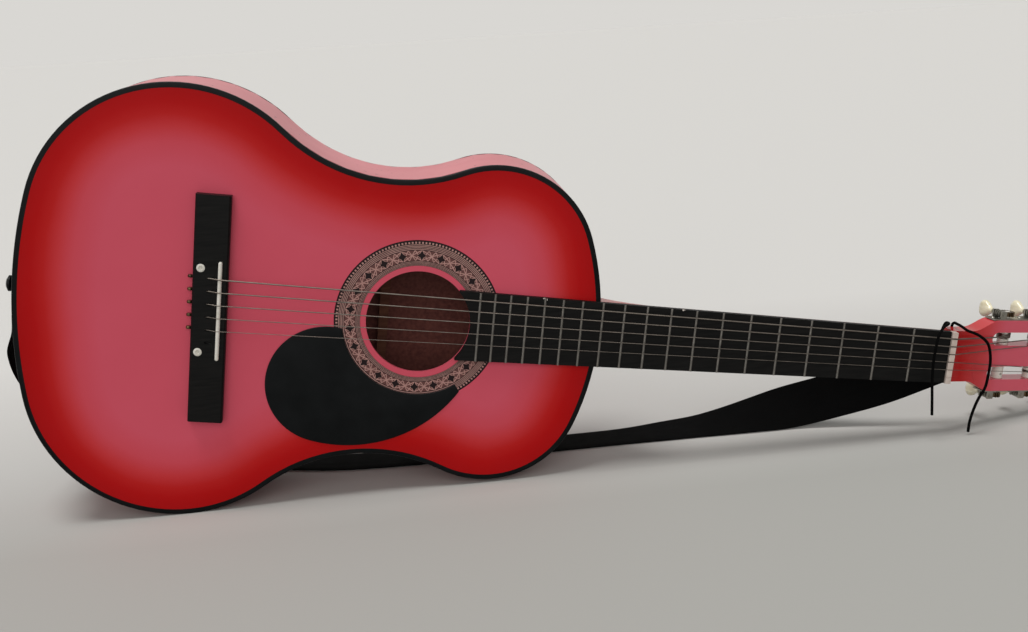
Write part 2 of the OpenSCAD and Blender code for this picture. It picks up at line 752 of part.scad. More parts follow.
module end_pin() {
    shank = pin_diameter / 2;
    waist = tab_hole_diameter / 2 - 2 * seat_clearance;
    head = pin_head_diameter / 2;
    shank_tip = 0.7 * shank;
    flange = 1.5 * shank;
    end = pin_depth + pin_reach;
    color([0.12, 0.12, 0.12]) in_place() translate([pin_depth, 0, -body_depth / 2]) rotate([0, -90, 0])
        rotate_extrude() polygon([
            [0, 0], [shank_tip, 0], [shank, pin_depth], [flange, pin_depth],
            [flange, pin_depth + tab_gap], [waist, pin_depth + tab_gap], [waist, end - pin_head_height],
            [head, end - 0.6 * pin_head_height], [head, end - 0.3 * pin_head_height],
            [0.6 * head, end], [0, end]
        ]);
}

// Neck

// Section of the heel at share t of its length; it is deepest at the body, where t is 0, and inside it
module heel_section(t) {
    fall = pow(1 - max(t, 0), heel_curve);
    shallow = neck_depth_joint - heel_sink;
    deep = shallow + (heel_depth - shallow) * fall;
    half = neck_width_joint / 2 - heel_taper * t;
    translate([body_length + t * heel_length, 0, 0]) rotate([90, 0, 90]) linear_extrude(heel_slice)
        polygon([for (i = [0:heel_sides]) let (a = 180 + 180 * i / heel_sides)
            [half * cos(a) * (1 - heel_tuck * fall * pow(sin(a), 2)), deep * sin(a)]]);
}

// Place of the heel's section i: the first one lies inside the body, the rest along the heel
function heel_share(i) = i == 0 ? -joint_overrun / heel_length : (i - 1) / (heel_steps - 1);

module heel_form() {
    for (i = [0:heel_steps - 1]) hull() {
        heel_section(heel_share(i));
        heel_section(heel_share(i + 1));
    }
}

// The room under the glue line, along which the heel is stuck to the shaft
module under_glue_line() {
    tall = heel_depth + overrun - neck_depth_joint;
    translate([body_length - joint_overrun, -neck_width_joint, -neck_depth_joint - tall])
        cube([heel_length + 2 * joint_overrun, 2 * neck_width_joint, tall]);
}

// The neck's round back as part of a long cone, flat where the fretboard lies
module shaft() {
    long = shaft_length + joint_overrun;
    growth = (neck_radius_joint - neck_radius_nut) / shaft_length;
    difference() {
        translate([x_head, 0, neck_axis_nut]) rotate([0, shaft_lean - 90, 0])
            cylinder(h = long, r1 = neck_radius_nut, r2 = neck_radius_nut + growth * long, $fn = 96);
        translate([body_length - 2 * joint_overrun, -neck_width_joint, 0])
            cube([long + 3 * joint_overrun, 2 * neck_width_joint, 2 * neck_radius_joint]);
    }
}

function head_half_outline() =
    let (narrow = neck_width_nut / 2, wide = head_width / 2)
    concat(
        [[-overrun, narrow]],
        [for (i = [0:flare_points]) let (t = i / flare_points)
            [flare_start + (flare_end - flare_start) * t, narrow + (wide - narrow) * (1 - cos(180 * t)) / 2]],
        arc([crest_centre, 0], crest_radius, crest_half_angle, 0, 8)
    );

module head_slot(side) {
    radius = slot_width / 2;
    translate([0, side * slot_centre, -head_thickness - overrun])
        linear_extrude(head_thickness + 2 * overrun) {
            translate([slot_start + radius, -radius]) square([slot_length - slot_width, slot_width]);
            translate([slot_start + radius, 0]) circle(r = radius);
            translate([slot_start + slot_length - radius, 0]) circle(r = radius);
        }
}

module headstock() {
    half = head_half_outline();
    other_half = mirrored(half);
    on_head() translate([0, 0, -head_thickness]) linear_extrude(head_thickness)
        polygon(concat(half, [for (i = [1:len(half) - 1]) other_half[i]]));
}

module neck() {
    color("crimson") in_place() difference() {
        union() {
            difference() {
                union() {
                    shaft();
                    heel_form();
                }
                slab(0, -body_depth - overrun, body_depth + 2 * overrun);
                under_glue_line();
            }
            headstock();
        }
        on_head() for (side = [-1, 1]) head_slot(side);
        for (k = [0:string_count - 1]) on_machine(k) translate([0, roller_depth, 0]) rotate([-90, 0, 0])
            cylinder(r = roller_radius + running_clearance, h = head_width);
        translate([x_nut, -neck_width_joint, 0])
            cube([nut_thickness, 2 * neck_width_joint, 2 * nut_thickness]);
    }
}

// Block glued under the shaft, with the tenon that holds the neck in the body
module heel() {
    color("crimson") in_place() {
        difference() {
            intersection() {
                heel_form();
                under_glue_line();
            }
            slab(0, -body_depth - overrun, body_depth + 2 * overrun);
        }
        tenon(0);
    }
}

module fretboard() {
    hole_radius = hole_diameter / 2;
    end_half = board_half_width(x_hole + hole_radius);
    x_end = x_hole + sqrt(pow(hole_radius, 2) - pow(end_half, 2)) + overrun;
    color([0.1, 0.09, 0.09]) in_place() linear_extrude(fretboard_thickness) difference() {
        polygon([
            [x_end, -board_half_width(x_end)], [x_nut, -neck_width_nut / 2],
            [x_nut, neck_width_nut / 2], [x_end, board_half_width(x_end)]
        ]);
        translate([x_hole, 0]) circle(d = hole_diameter, $fn = 96);
    }
}

module frets() {
    color("silver") in_place() for (n = [1:fret_count]) translate([fret_x(n), 0, fretboard_thickness])
        rotate([90, 0, 0]) linear_extrude(2 * board_half_width(fret_x(n)) - seat_clearance, center = true)
        polygon([for (i = [0:8]) [fret_width / 2 * cos(22.5 * i), fret_height * sin(22.5 * i)]]);
}

module nut() {
    color("ivory") in_place() difference() {
        translate([x_nut, -neck_width_nut / 2, 0]) cube([nut_thickness, neck_width_nut, z_nut_top]);
        for (k = [0:string_count - 1]) {
            wide = string_diameter(k) + 2 * seat_clearance;
            y_groove = string_place(k, nut_string_spacing) - wide / 2;
            translate([x_nut - overrun, y_groove, z_nut_top - nut_groove_depth])
                cube([nut_thickness + 2 * overrun, wide, 2 * nut_groove_depth]);
        }
    }
}

// Tuning machines

// Side plate with a lug on each side of every worm
module machine_plate(side) {
    first = side > 0 ? 0 : 3;
    lug_reach = v_worm + lug_half_width - v_plate;
    lug_foot = -machine_centres - lug_half_width;
    journal_bore = journal_diameter + 2 * running_clearance;
    shaft_bore = worm_shaft_diameter + 2 * running_clearance;
    color("silver") in_place() difference() {
        union() {
            on_head() mirror([0, side > 0 ? 0 : 1, 0])
                translate([slot_start, v_plate, w_axis - machine_plate_width / 2])
                cube([slot_length + plate_margin, machine_plate_thickness, machine_plate_width]);
            for (k = [first:first + 2]) for (end = [0, 1]) on_machine(k)
                translate([lug_foot, v_plate, end > 0 ? w_lug : -w_lug - lug_thickness])
                cube([2 * lug_half_width, lug_reach, lug_thickness]);
        }
        for (k = [first:first + 2]) on_machine(k) {
            translate([0, v_plate - overrun, 0]) rotate([-90, 0, 0])
                cylinder(d = journal_bore, h = machine_plate_thickness + 2 * overrun);
            translate([-machine_centres, v_worm, -w_lug - lug_thickness - overrun])
                cylinder(d = shaft_bore, h = 2 * (w_lug + lug_thickness + overrun));
        }
    }
}

// Roller with its journal and, where a string is fitted, the turns wound on it
module roller(k) {
    wound = string_diameter(k);
    color("ivory") in_place() on_machine(k) rotate([-90, 0, 0]) difference() {
        union() {
            translate([0, 0, roller_depth + running_clearance])
                cylinder(r = roller_radius, h = v_plate - roller_depth - 4 * running_clearance);
            translate([0, 0, v_plate - overrun])
                cylinder(d = journal_diameter, h = v_gear + gear_thickness - v_plate + overrun);
            if (k < fitted_strings) translate([0, 0, winding_v(k) - 2 * wound])
                cylinder(r = roller_radius + wound, h = 4 * wound);
        }
        translate([0, 0, winding_v(k)]) rotate([90, 0, 0])
            cylinder(d = string_hole_diameter, h = 2 * roller_diameter, center = true);
    }
}

// Tooth flanks narrow from the root to the tip
function tooth_half_width(radius) = tooth_width / 2 - tooth_slope * (radius - gear_pitch_radius);

module gear(k) {
    step = 360 / gear_teeth;
    root_turn = asin(tooth_half_width(gear_root_radius) / gear_root_radius);
    tip_turn = asin(tooth_half_width(gear_tip_radius) / gear_tip_radius);
    color("goldenrod") in_place() on_machine(k) translate([0, v_gear, 0]) rotate([-90, 0, 0]) difference() {
        linear_extrude(gear_thickness) polygon([for (i = [0:gear_teeth - 1]) let (a = 180 + i * step)
            each [
                gear_root_radius * [cos(a - root_turn), sin(a - root_turn)],
                gear_tip_radius * [cos(a - tip_turn), sin(a - tip_turn)],
                gear_tip_radius * [cos(a + tip_turn), sin(a + tip_turn)],
                gear_root_radius * [cos(a + root_turn), sin(a + root_turn)]
            ]]);
        translate([0, 0, -overrun]) cylinder(d = journal_diameter, h = gear_thickness + 2 * overrun);
    }
}

// Single-start thread round the z axis, with a gap facing +x at z = 0
module worm_thread() {
    turn_steps = 16;
    last = turn_steps * worm_turns;
    foot_radius = worm_root_radius - thread_sink;
    foot_half = tooth_width / 2 + tooth_slope * (worm_pitch_radius - foot_radius);
    tip_half = tooth_width / 2 - tooth_slope * (worm_tip_radius - worm_pitch_radius);
    sweep([for (i = [0:last])
        let (turn = 360 * (i / turn_steps - worm_turns / 2), z = tooth_pitch * turn / 360)
        let (facing = turn + 180, out = [cos(facing), sin(facing), 0])
        [
            foot_radius * out + [0, 0, z + foot_half], worm_tip_radius * out + [0, 0, z + tip_half],
            worm_tip_radius * out + [0, 0, z - tip_half], foot_radius * out + [0, 0, z - foot_half]
        ]]);
}

module worm(k) {
    shaft_foot = w_button - w_axis - button_seat;
    shaft_top = w_lug + lug_thickness + overrun / 2;
    color("gainsboro") in_place() on_machine(k) translate([-machine_centres, v_worm, 0]) {
        translate([0, 0, -worm_half]) cylinder(r = worm_root_radius, h = 2 * worm_half);
        translate([0, 0, shaft_foot]) cylinder(d = worm_shaft_diameter, h = shaft_top - shaft_foot);
        worm_thread();
    }
}

// Flattened bulb, bored for the worm's shaft
module button(k) {
    half = button_width / 2;
    neck_radius = worm_shaft_diameter / 2 + overrun;
    z_widest = (button_length + button_collar) / 2;
    color("wheat") in_place() on_machine(k) translate([-machine_centres, v_worm, w_button - w_axis])
        rotate([180, 0, 0]) difference() {
            intersection() {
                rotate_extrude() polygon(concat(
                    [[0, 0], [neck_radius, 0], [neck_radius + button_lip, button_collar]],
                    [for (i = [1:8]) let (t = i / 8)
                        [neck_radius + (half - neck_radius) * sin(90 * t),
                            button_collar + (z_widest - button_collar) * t]],
                    [for (i = [1:6]) let (t = i / 6)
                        [half * cos(button_round * t), z_widest + (button_length - z_widest) * sin(90 * t)]],
                    [[0, button_length]]
                ));
                translate([-button_thickness / 2, -button_width, -overrun])
                    cube([button_thickness, 2 * button_width, button_length + 2 * overrun]);
            }
            translate([0, 0, -overrun]) cylinder(d = worm_shaft_diameter, h = button_seat + overrun);
        }
}

// Strings, strap and lace

module strings() {
    color("lightgray") in_place() for (k = [0:fitted_strings - 1]) {
        tube(string_points(k), string_diameter(k), 8);
        translate([x_ball, string_place(k, bridge_string_spacing), z_ball]) rotate([90, 0, 0])
            cylinder(d = ball_diameter, h = ball_width, center = true);
    }
}

module strap() {
    color([0.06, 0.06, 0.06]) webbing(strap_route, strap_spread, strap_width, strap_thickness);
}

// Leather end of the strap, buttoned over the end pin
module strap_tab() {
    radius = strap_width / 2 - 1;
    color([0.15, 0.11, 0.09]) in_place() translate([-tab_gap - tab_thickness, 0, -body_depth / 2])
        rotate([0, 90, 0]) linear_extrude(tab_thickness) difference() {
            union() {
                circle(r = radius);
                translate([-radius, -tab_length]) square([2 * radius, tab_length]);
            }
            circle(d = tab_hole_diameter);
        }
}

module lace() {
    color([0.05, 0.05, 0.05]) tube(lace_route, lace_diameter, 8);
}

soundboard();
rosette();
back_plate();
rib(1);  // rib_bass
rib(-1);  // rib_treble
top_binding();
back_binding();
lining(-plate_thickness - lining_height);  // top_lining
lining(plate_thickness - body_depth);  // back_lining
neck_block();
tail_block();
top_braces();
back_braces();
bridge_plate();
bridge();
saddle();
bridge_bolts();
bridge_caps();
pickguard();
end_pin();
neck();
heel();
fretboard();
frets();
nut();
machine_plate(1);  // machine_plate_bass
machine_plate(-1);  // machine_plate_treble
for (k = [0:string_count - 1]) {
    roller(k);
    gear(k);
    worm(k);
    button(k);
}
strings();
strap();
strap_tab();
lace();
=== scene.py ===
import json
import math

import bmesh
import bpy
import numpy as np
from mathutils import Matrix, Vector, geometry


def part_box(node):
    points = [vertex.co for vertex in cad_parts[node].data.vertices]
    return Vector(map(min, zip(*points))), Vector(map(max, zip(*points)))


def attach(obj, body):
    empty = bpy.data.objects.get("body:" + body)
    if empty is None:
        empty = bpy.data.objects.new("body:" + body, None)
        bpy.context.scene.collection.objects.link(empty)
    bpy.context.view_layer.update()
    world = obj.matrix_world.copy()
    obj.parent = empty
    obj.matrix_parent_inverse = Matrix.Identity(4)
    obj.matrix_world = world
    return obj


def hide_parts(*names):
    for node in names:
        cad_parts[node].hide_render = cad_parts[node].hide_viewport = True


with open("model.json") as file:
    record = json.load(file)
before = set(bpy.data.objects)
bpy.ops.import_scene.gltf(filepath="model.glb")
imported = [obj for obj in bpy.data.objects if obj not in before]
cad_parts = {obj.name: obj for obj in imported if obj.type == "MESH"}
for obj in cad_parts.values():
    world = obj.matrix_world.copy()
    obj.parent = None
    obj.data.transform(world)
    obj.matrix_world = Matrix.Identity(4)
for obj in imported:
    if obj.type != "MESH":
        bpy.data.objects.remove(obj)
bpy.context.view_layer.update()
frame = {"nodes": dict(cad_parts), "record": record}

# How the guitar stands: on its treble edge, head to the right, soundboard to the front.
# The rollers turn across the neck, so their axis gives the lean, and the rosette's box
# gives the middle of the sound hole, from which every place on the guitar is counted.
joints = {joint["name"]: joint for joint in frame["record"]["behaviour"]["joints"]}
across = Vector(joints["roller_6_turn"]["axis"])
out = Vector((0, -1, 0))
along = across.cross(out)
rosette_low, rosette_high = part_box("rosette")
hole_middle = Vector((
    (rosette_low[0] + rosette_high[0]) / 2, rosette_low[1], (rosette_low[2] + rosette_high[2]) / 2))


def at(x, y, z=0.0):
    """The place x metres towards the head, y towards the bass side and z out of the soundboard."""
    return hole_middle + along * x + across * y + out * z


def lean(vector):
    """A direction in the guitar's own axes as one in the standing frame."""
    return along * vector[0] + across * vector[1] + out * vector[2]


# Soundboard: a thin plate of pressed wood, sprayed pink in the middle and red towards the edge,
# with the sound hole cut through it and a shallow recess for the rosette. It is glued on the ribs
# inside the binding.
TAIL_X, BODY_LENGTH = -0.314, 0.464
TAIL_RADIUS, SHOULDER_RADIUS, WAIST_RADIUS = 0.396, 0.231, 0.134
LOWER_RADIUS, LOWER_HALF = 0.117, 0.175
UPPER_RADIUS, UPPER_HALF = 0.081, 0.1325
PLATE, BINDING = 0.003, 0.0043
HOLE_RADIUS, ROSETTE_INNER, ROSETTE_OUTER, ROSETTE_DEPTH = 0.042, 0.0465, 0.0675, 0.0005
TAIL_STEPS, LOWER_STEPS, WAIST_STEPS, UPPER_STEPS, SHOULDER_STEPS = 12, 34, 18, 24, 8
HOLE_STEPS, FULL_TURN = 96, 2 * math.pi


def arc(centre, radius, start, end, steps):
    """Points on an arc, without its last one."""
    turns = [start + (end - start) * i / steps for i in range(steps)]
    return [(centre[0] + radius * math.cos(a), centre[1] + radius * math.sin(a)) for a in turns]


def heading(a, b):
    """The direction from a to b, as an angle."""
    return math.atan2(b[1] - a[1], b[0] - a[0])


def circles_meet(a, ra, b, rb, side):
    """Where two circles cross, on the left (1) or the right (-1) of the line from a to b."""
    span = math.dist(a, b)
    ux, uy = (b[0] - a[0]) / span, (b[1] - a[1]) / span
    foot = (ra * ra - rb * rb + span * span) / (2 * span)
    rise = side * math.sqrt(ra * ra - foot * foot)
    return a[0] + foot * ux - rise * uy, a[1] + foot * uy + rise * ux


def body_outline(inset):
    """The body's edge moved inwards by inset, counter-clockwise from the tail."""
    tail = (TAIL_X + TAIL_RADIUS, 0)
    lower_y = LOWER_HALF - LOWER_RADIUS
    lower = (tail[0] - math.sqrt((TAIL_RADIUS - LOWER_RADIUS) ** 2 - lower_y ** 2), lower_y)
    shoulder = (TAIL_X + BODY_LENGTH - SHOULDER_RADIUS, 0)
    upper_y = UPPER_HALF - UPPER_RADIUS
    upper = (shoulder[0] + math.sqrt((SHOULDER_RADIUS - UPPER_RADIUS) ** 2 - upper_y ** 2), upper_y)
    waist = circles_meet(lower, LOWER_RADIUS + WAIST_RADIUS, upper, UPPER_RADIUS + WAIST_RADIUS, 1)
    to_lower, to_waist = heading(tail, lower), heading(lower, waist)
    past_waist, to_shoulder = heading(upper, waist), heading(shoulder, upper)
    half = (
        arc(tail, TAIL_RADIUS - inset, math.pi, to_lower, TAIL_STEPS)
        + arc(lower, LOWER_RADIUS - inset, to_lower, to_waist, LOWER_STEPS)
        + arc(waist, WAIST_RADIUS + inset, to_waist - math.pi, past_waist - math.pi, WAIST_STEPS)
        + arc(upper, UPPER_RADIUS - inset, past_waist, to_shoulder, UPPER_STEPS)
        + arc(shoulder, SHOULDER_RADIUS - inset, to_shoulder, 0, SHOULDER_STEPS)
        + [(TAIL_X + BODY_LENGTH - inset, 0)])
    return (half + [(x, -y) for x, y in half[-2:0:-1]])[::-1]


def circle(radius):
    """A ring round the middle of the sound hole."""
    return arc((0, 0), radius, 0, FULL_TURN, HOLE_STEPS)


def edge_distance(points, outline):
    """How far each point is from the outline."""
    points, a = np.array(points), np.array(outline)
    step = np.roll(a, -1, axis=0) - a
    share = ((points[:, None] - a) * step).sum(2) / (step * step).sum(1)
    foot = a + np.clip(share, 0, 1)[:, :, None] * step
    return np.linalg.norm(points[:, None] - foot, axis=2).min(1)


def inside(points, outline):
    """Which points lie inside the outline."""
    points, a = np.array(points), np.array(outline)
    b = np.roll(a, -1, axis=0)
    above = (a[:, 1] > points[:, None, 1]) != (b[:, 1] > points[:, None, 1])
    rise = np.where(b[:, 1] == a[:, 1], 1e-12, b[:, 1] - a[:, 1])
    crossing = a[:, 0] + (points[:, None, 1] - a[:, 1]) * (b[:, 0] - a[:, 0]) / rise
    return (above & (points[:, None, 0] < crossing)).sum(1) % 2 == 1


def piece(name, points, faces, sharp=None):
    """A new mesh object with its faces turned outwards, smooth up to the angle sharp in degrees."""
    mesh = bpy.data.meshes.new(name)
    mesh.from_pydata([tuple(p) for p in points], [], faces)
    build = bmesh.new()
    build.from_mesh(mesh)
    bmesh.ops.recalc_face_normals(build, faces=build.faces)
    build.to_mesh(mesh)
    build.free()
    if sharp is not None:
        mesh.shade_smooth()
        mesh.set_sharp_from_angle(angle=math.radians(sharp))
    made = bpy.data.objects.new(name, mesh)
    bpy.context.scene.collection.objects.link(made)
    return made


def stands_for(made, material, slot, body, *nodes):
    """The finished piece takes its material, moves with its body and replaces its CAD nodes."""
    made.data.materials.append(material)
    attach(made, body)
    if nodes:
        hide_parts(*nodes)


def screen(red, green, blue):
    """A colour as a screen shows it, 0 to 255, as the linear one that a shader takes."""
    parts = (red / 255, green / 255, blue / 255)
    return [c / 12.92 if c <= 0.04045 else ((c + 0.055) / 1.055) ** 2.4 for c in parts] + [1.0]


def shader(name, **settings):
    """A new material: its node tree and its main shader, with these sockets set."""
    material = bpy.data.materials.new(name)
    material.use_nodes = True
    main = material.node_tree.nodes["Principled BSDF"]
    for socket, value in settings.items():
        main.inputs[socket.replace("_", " ")].default_value = value
    return material, material.node_tree, main


def add(tree, kind, settings=(), **inputs):
    """A new node with its settings and its sockets; a socket takes a value or another node's output."""
    made = tree.nodes.new("ShaderNode" + kind)
    for name, value in dict(settings).items():
        setattr(made, name, value)
    for name, value in inputs.items():
        socket = made.inputs[int(name[1:])] if name[1:].isdigit() else made.inputs[name.replace("_", " ")]
        if isinstance(value, bpy.types.NodeSocket):
            tree.links.new(value, socket)
        else:
            socket.default_value = value
    return made


def calc(tree, operation, a, b=0.0):
    """The result of a sum on one or two factors."""
    return add(tree, "Math", {"operation": operation}, _0=a, _1=b).outputs["Value"]


def ramp(tree, factor, *stops):
    """A colour ramp through (place, colour) stops."""
    made = add(tree, "ValToRGB", Fac=factor)
    marks = made.color_ramp.elements
    while len(marks) < len(stops):
        marks.new(0.5)
    for mark, (place, tint) in zip(marks, stops):
        mark.position, mark.color = place, tint
    return made.outputs["Color"]


def grain(tree, scale, detail=4.0, stretch=(1, 1, 1)):
    """Noise in the object's own space, stretched along the axes."""
    place = add(tree, "TexCoord").outputs["Object"]
    place = add(tree, "Mapping", Vector=place, Scale=stretch).outputs["Vector"]
    return add(tree, "TexNoise", Vector=place, Scale=scale, Detail=detail).outputs["Fac"]


def spread(tree, factor, low, high):
    """A factor from 0 to 1 taken to the range from low to high."""
    return add(tree, "MapRange", Value=factor, To_Min=low, To_Max=high).outputs["Result"]


def roughen(tree, main, low, high, scale, bump_scale, bump, distance=0.0002):
    """Uneven polish and a fine relief."""
    tree.links.new(spread(tree, grain(tree, scale), low, high), main.inputs["Roughness"])
    relief = add(tree, "Bump", Strength=bump, Distance=distance, Height=grain(tree, bump_scale))
    tree.links.new(relief.outputs["Normal"], main.inputs["Normal"])


def mixed(tree, factor, a, b):
    """Two colours mixed by a factor."""
    made = add(tree, "Mix", {"data_type": "RGBA"}, Factor=factor)
    for socket, value in ((made.inputs[6], a), (made.inputs[7], b)):
        if isinstance(value, bpy.types.NodeSocket):
            tree.links.new(value, socket)
        else:
            socket.default_value = value
    return made.outputs[2]


PINK, ROSE, BLUSH = screen(196, 80, 96), screen(193, 70, 82), screen(187, 52, 56)
SCARLET, RED, DEEP_RED = screen(175, 27, 25), screen(166, 10, 8), screen(152, 5, 4)
BURST_REACH, GRID = 0.08, 0.007
board_edge = body_outline(BINDING)
xs = np.arange(TAIL_X, TAIL_X + BODY_LENGTH, GRID)
ys = np.arange(-LOWER_HALF, LOWER_HALF, GRID)
field = [(float(x), float(y)) for x in xs for y in ys]
clear = edge_distance(field, board_edge) > GRID / 2
radii = np.hypot(*np.array(field).T)
for ring in (HOLE_RADIUS, ROSETTE_INNER, ROSETTE_OUTER):
    clear &= np.abs(radii - ring) > GRID / 3
field = [p for p, far, within in zip(field, clear, inside(field, board_edge)) if far and within]
loops = [board_edge, circle(ROSETTE_OUTER), circle(ROSETTE_INNER), circle(HOLE_RADIUS)]
flat, loop_edges = [], []
for loop in loops:
    first = len(flat)
    flat += loop
    loop_edges += [(first + i, first + (i + 1) % len(loop)) for i in range(len(loop))]
flat += field
flat, _, triangles, *_ = geometry.delaunay_2d_cdt([Vector(p) for p in flat], loop_edges, [], 0, 1e-7)
flat = [tuple(p) for p in flat]
middles = [tuple(sum(flat[i][k] for i in t) / 3 for k in (0, 1)) for t in triangles]
within = inside(middles, board_edge)
board_points, board_faces, placed = [], [], {}


def corner(i, z):
    """The board's point i at height z, made once."""
    if (i, z) not in placed:
        placed[i, z] = len(board_points)
        board_points.append(at(*flat[i], z))
    return placed[i, z]


def side_face(a, b, high, low):
    """The upright face between two heights along the edge from a to b."""
    board_faces.append([corner(a, high), corner(b, high), corner(b, low), corner(a, low)])


face_heights = {}
for triangle, middle, kept in zip(triangles, middles, within):
    radius = math.hypot(*middle)
    if kept and radius > HOLE_RADIUS:
        sunk = ROSETTE_INNER < radius < ROSETTE_OUTER
        top = -ROSETTE_DEPTH if sunk else 0.0
        board_faces.append([corner(i, top) for i in triangle])
        board_faces.append([corner(i, -PLATE) for i in reversed(triangle)])
        for k in range(3):
            pair = triangle[k], triangle[(k + 1) % 3]
            face_heights.setdefault(tuple(sorted(pair)), []).append(top)
for (a, b), heights in face_heights.items():
    if len(heights) == 1:
        side_face(a, b, heights[0], -PLATE)
    elif heights[0] != heights[1]:
        side_face(a, b, 0.0, -ROSETTE_DEPTH)
soundboard = piece("soundboard_burst", board_points, board_faces)
depth = edge_distance(flat, body_outline(0))
burst = soundboard.data.attributes.new("from_edge", "FLOAT", "POINT")
burst_values = np.zeros(len(board_points), dtype=np.float32)
for (i, z), index in placed.items():
    burst_values[index] = depth[i]
burst.data.foreach_set("value", burst_values)


def burst_lacquer():
    """Gloss lacquer over a pink centre that darkens to red at the edge."""
    material, tree, main = shader(
        "burst_lacquer", Coat_Weight=0.04, Coat_Roughness=0.12, Specular_IOR_Level=0.05)
    edge = add(tree, "Attribute", {"attribute_name": "from_edge"}).outputs["Fac"]
    drift = spread(tree, grain(tree, 9.0), -0.006, 0.006)
    edge = calc(tree, "ADD", edge, drift)
    share = add(tree, "MapRange", Value=edge, From_Max=BURST_REACH).outputs["Result"]
    tint = ramp(
        tree, share, (0.0, DEEP_RED), (0.19, RED), (0.3, SCARLET), (0.42, BLUSH), (0.56, ROSE), (0.8, PINK))
    cloud = spread(tree, grain(tree, 24.0, 6.0), 0.0, 0.14)
    tree.links.new(mixed(tree, cloud, tint, screen(164, 46, 60)), main.inputs["Base Color"])
    roughen(tree, main, 0.26, 0.4, 18.0, 420.0, 0.06)
    return material


stands_for(soundboard, burst_lacquer(), "burst_lacquer", "guitar", "soundboard")


# Rosette: a printed ring of mosaic let into the soundboard round the hole, with fine black lines,
# a roped outer border and a band of dark flowers joined by a pale lattice.
BAND_RADIUS, BAND_HALF, LATTICE_HALF, FLOWERS = 0.0549, 0.0044, 0.0042, 22
ROPE_RADIUS, ROPE_HALF, ROPE_STRANDS = 0.0653, 0.0008, 150
ROSETTE_LINES = [
    (0.0668, 0.0007), (0.0642, 0.0003), (0.0630, 0.0003), (0.0618, 0.0003), (0.0606, 0.0003),
    (0.0594, 0.0003), (0.0504, 0.0003), (0.0494, 0.00028), (0.0484, 0.00028), (0.0475, 0.00028),
    (0.0467, 0.0002)]


def rosette_print():
    """The print, worked out from each place's radius and turn round the middle of the hole."""
    material, tree, main = shader(
        "rosette_print", Coat_Weight=0.05, Coat_Roughness=0.15, Specular_IOR_Level=0.15)
    place = add(tree, "TexCoord").outputs["Object"]
    place = add(tree, "VectorMath", {"operation": "SUBTRACT"}, _0=place, _1=hole_middle).outputs["Vector"]
    parts = add(tree, "SeparateXYZ", Vector=place).outputs
    radius = add(tree, "VectorMath", {"operation": "LENGTH"}, _0=place).outputs["Value"]
    turn = calc(tree, "ARCTAN2", parts["Z"], parts["X"])

    def line(middle, half):
        """1 on a ring of that radius and half width."""
        away = calc(tree, "ABSOLUTE", calc(tree, "SUBTRACT", radius, middle))
        return calc(tree, "LESS_THAN", away, half)

    def zigzag(count):
        """A triangle wave round the ring, from 0 to 1."""
        return calc(tree, "PINGPONG", calc(tree, "MULTIPLY", turn, count / math.pi), 1.0)

    def lozenge(half, count, size):
        """How far a place is from the nearest lozenge of the band's row, 1 at the lozenge's edge."""
        height = calc(tree, "DIVIDE", calc(tree, "SUBTRACT", radius, BAND_RADIUS), half)
        return calc(tree, "ADD", calc(tree, "ABSOLUTE", height), calc(tree, "DIVIDE", zigzag(count), size))

    def threads(half, count, width):
        """1 on the outlines of a row of lozenges that touch each other."""
        away = calc(tree, "ABSOLUTE", calc(tree, "SUBTRACT", lozenge(half, count, 1.0), 1.0))
        return calc(tree, "LESS_THAN", away, width)

    def either(a, b):
        """1 where either of two marks is."""
        return calc(tree, "MAXIMUM", a, b)

    pale, tan, black = screen(184, 143, 134), screen(92, 58, 55), screen(24, 11, 13)
    band = line(BAND_RADIUS, BAND_HALF)
    lattice = either(threads(LATTICE_HALF, FLOWERS, 0.1), threads(LATTICE_HALF, 3 * FLOWERS, 0.16))
    gaps = calc(tree, "SUBTRACT", band, calc(tree, "MULTIPLY", band, lattice))
    ground = mixed(tree, grain(tree, 160.0), pale, screen(138, 100, 94))
    ground = mixed(tree, gaps, ground, tan)
    strands = calc(tree, "GREATER_THAN", zigzag(ROPE_STRANDS), 0.5)
    ink = calc(tree, "MULTIPLY", line(ROPE_RADIUS, ROPE_HALF), strands)
    for petal_high, petal_wide in ((0.0041, 0.3), (0.0027, 0.46)):
        ink = either(ink, calc(tree, "LESS_THAN", lozenge(petal_high, FLOWERS, petal_wide), 1.0))
    for middle, half in ROSETTE_LINES:
        ink = either(ink, line(middle, half))
    tree.links.new(mixed(tree, ink, ground, black), main.inputs["Base Color"])
    roughen(tree, main, 0.28, 0.42, 40.0, 500.0, 0.05)
    return material


JOIN_REACH = 0.00001


def dress(material, *nodes, sharp=35):
    """CAD nodes whose shape stays: the finish, and smooth shading over their round faces."""
    for name in nodes:
        node = frame["nodes"][name]
        node.data.materials.clear()
        node.data.materials.append(material)
        node.data.shade_smooth()
        node.modifiers.new("joined_faces", "WELD").merge_threshold = JOIN_REACH
        node.modifiers.new("corners", "EDGE_SPLIT").split_angle = math.radians(sharp)
        node.modifiers.new("even_shading", "WEIGHTED_NORMAL").keep_sharp = True


dress(rosette_print(), "rosette")


# Bindings: black plastic strip bent round both edges of the body and glued into a ledge,
# with its outer corner scraped round.
def loft(name, rings, sharp=35, closed=False, capped=False):
    """A skin over rings with the same number of points; closed joins the last ring to the first."""
    count = len(rings[0])
    points = [p for ring in rings for p in ring]
    faces = []
    for i in range(len(rings) if closed else len(rings) - 1):
        here, there = i * count, (i + 1) % len(rings) * count
        faces += [
            (here + j, here + (j + 1) % count, there + (j + 1) % count, there + j) for j in range(count)]
    if capped:
        faces += [tuple(range(count)), tuple(range(len(points) - count, len(points)))]
    return piece(name, points, faces, sharp)


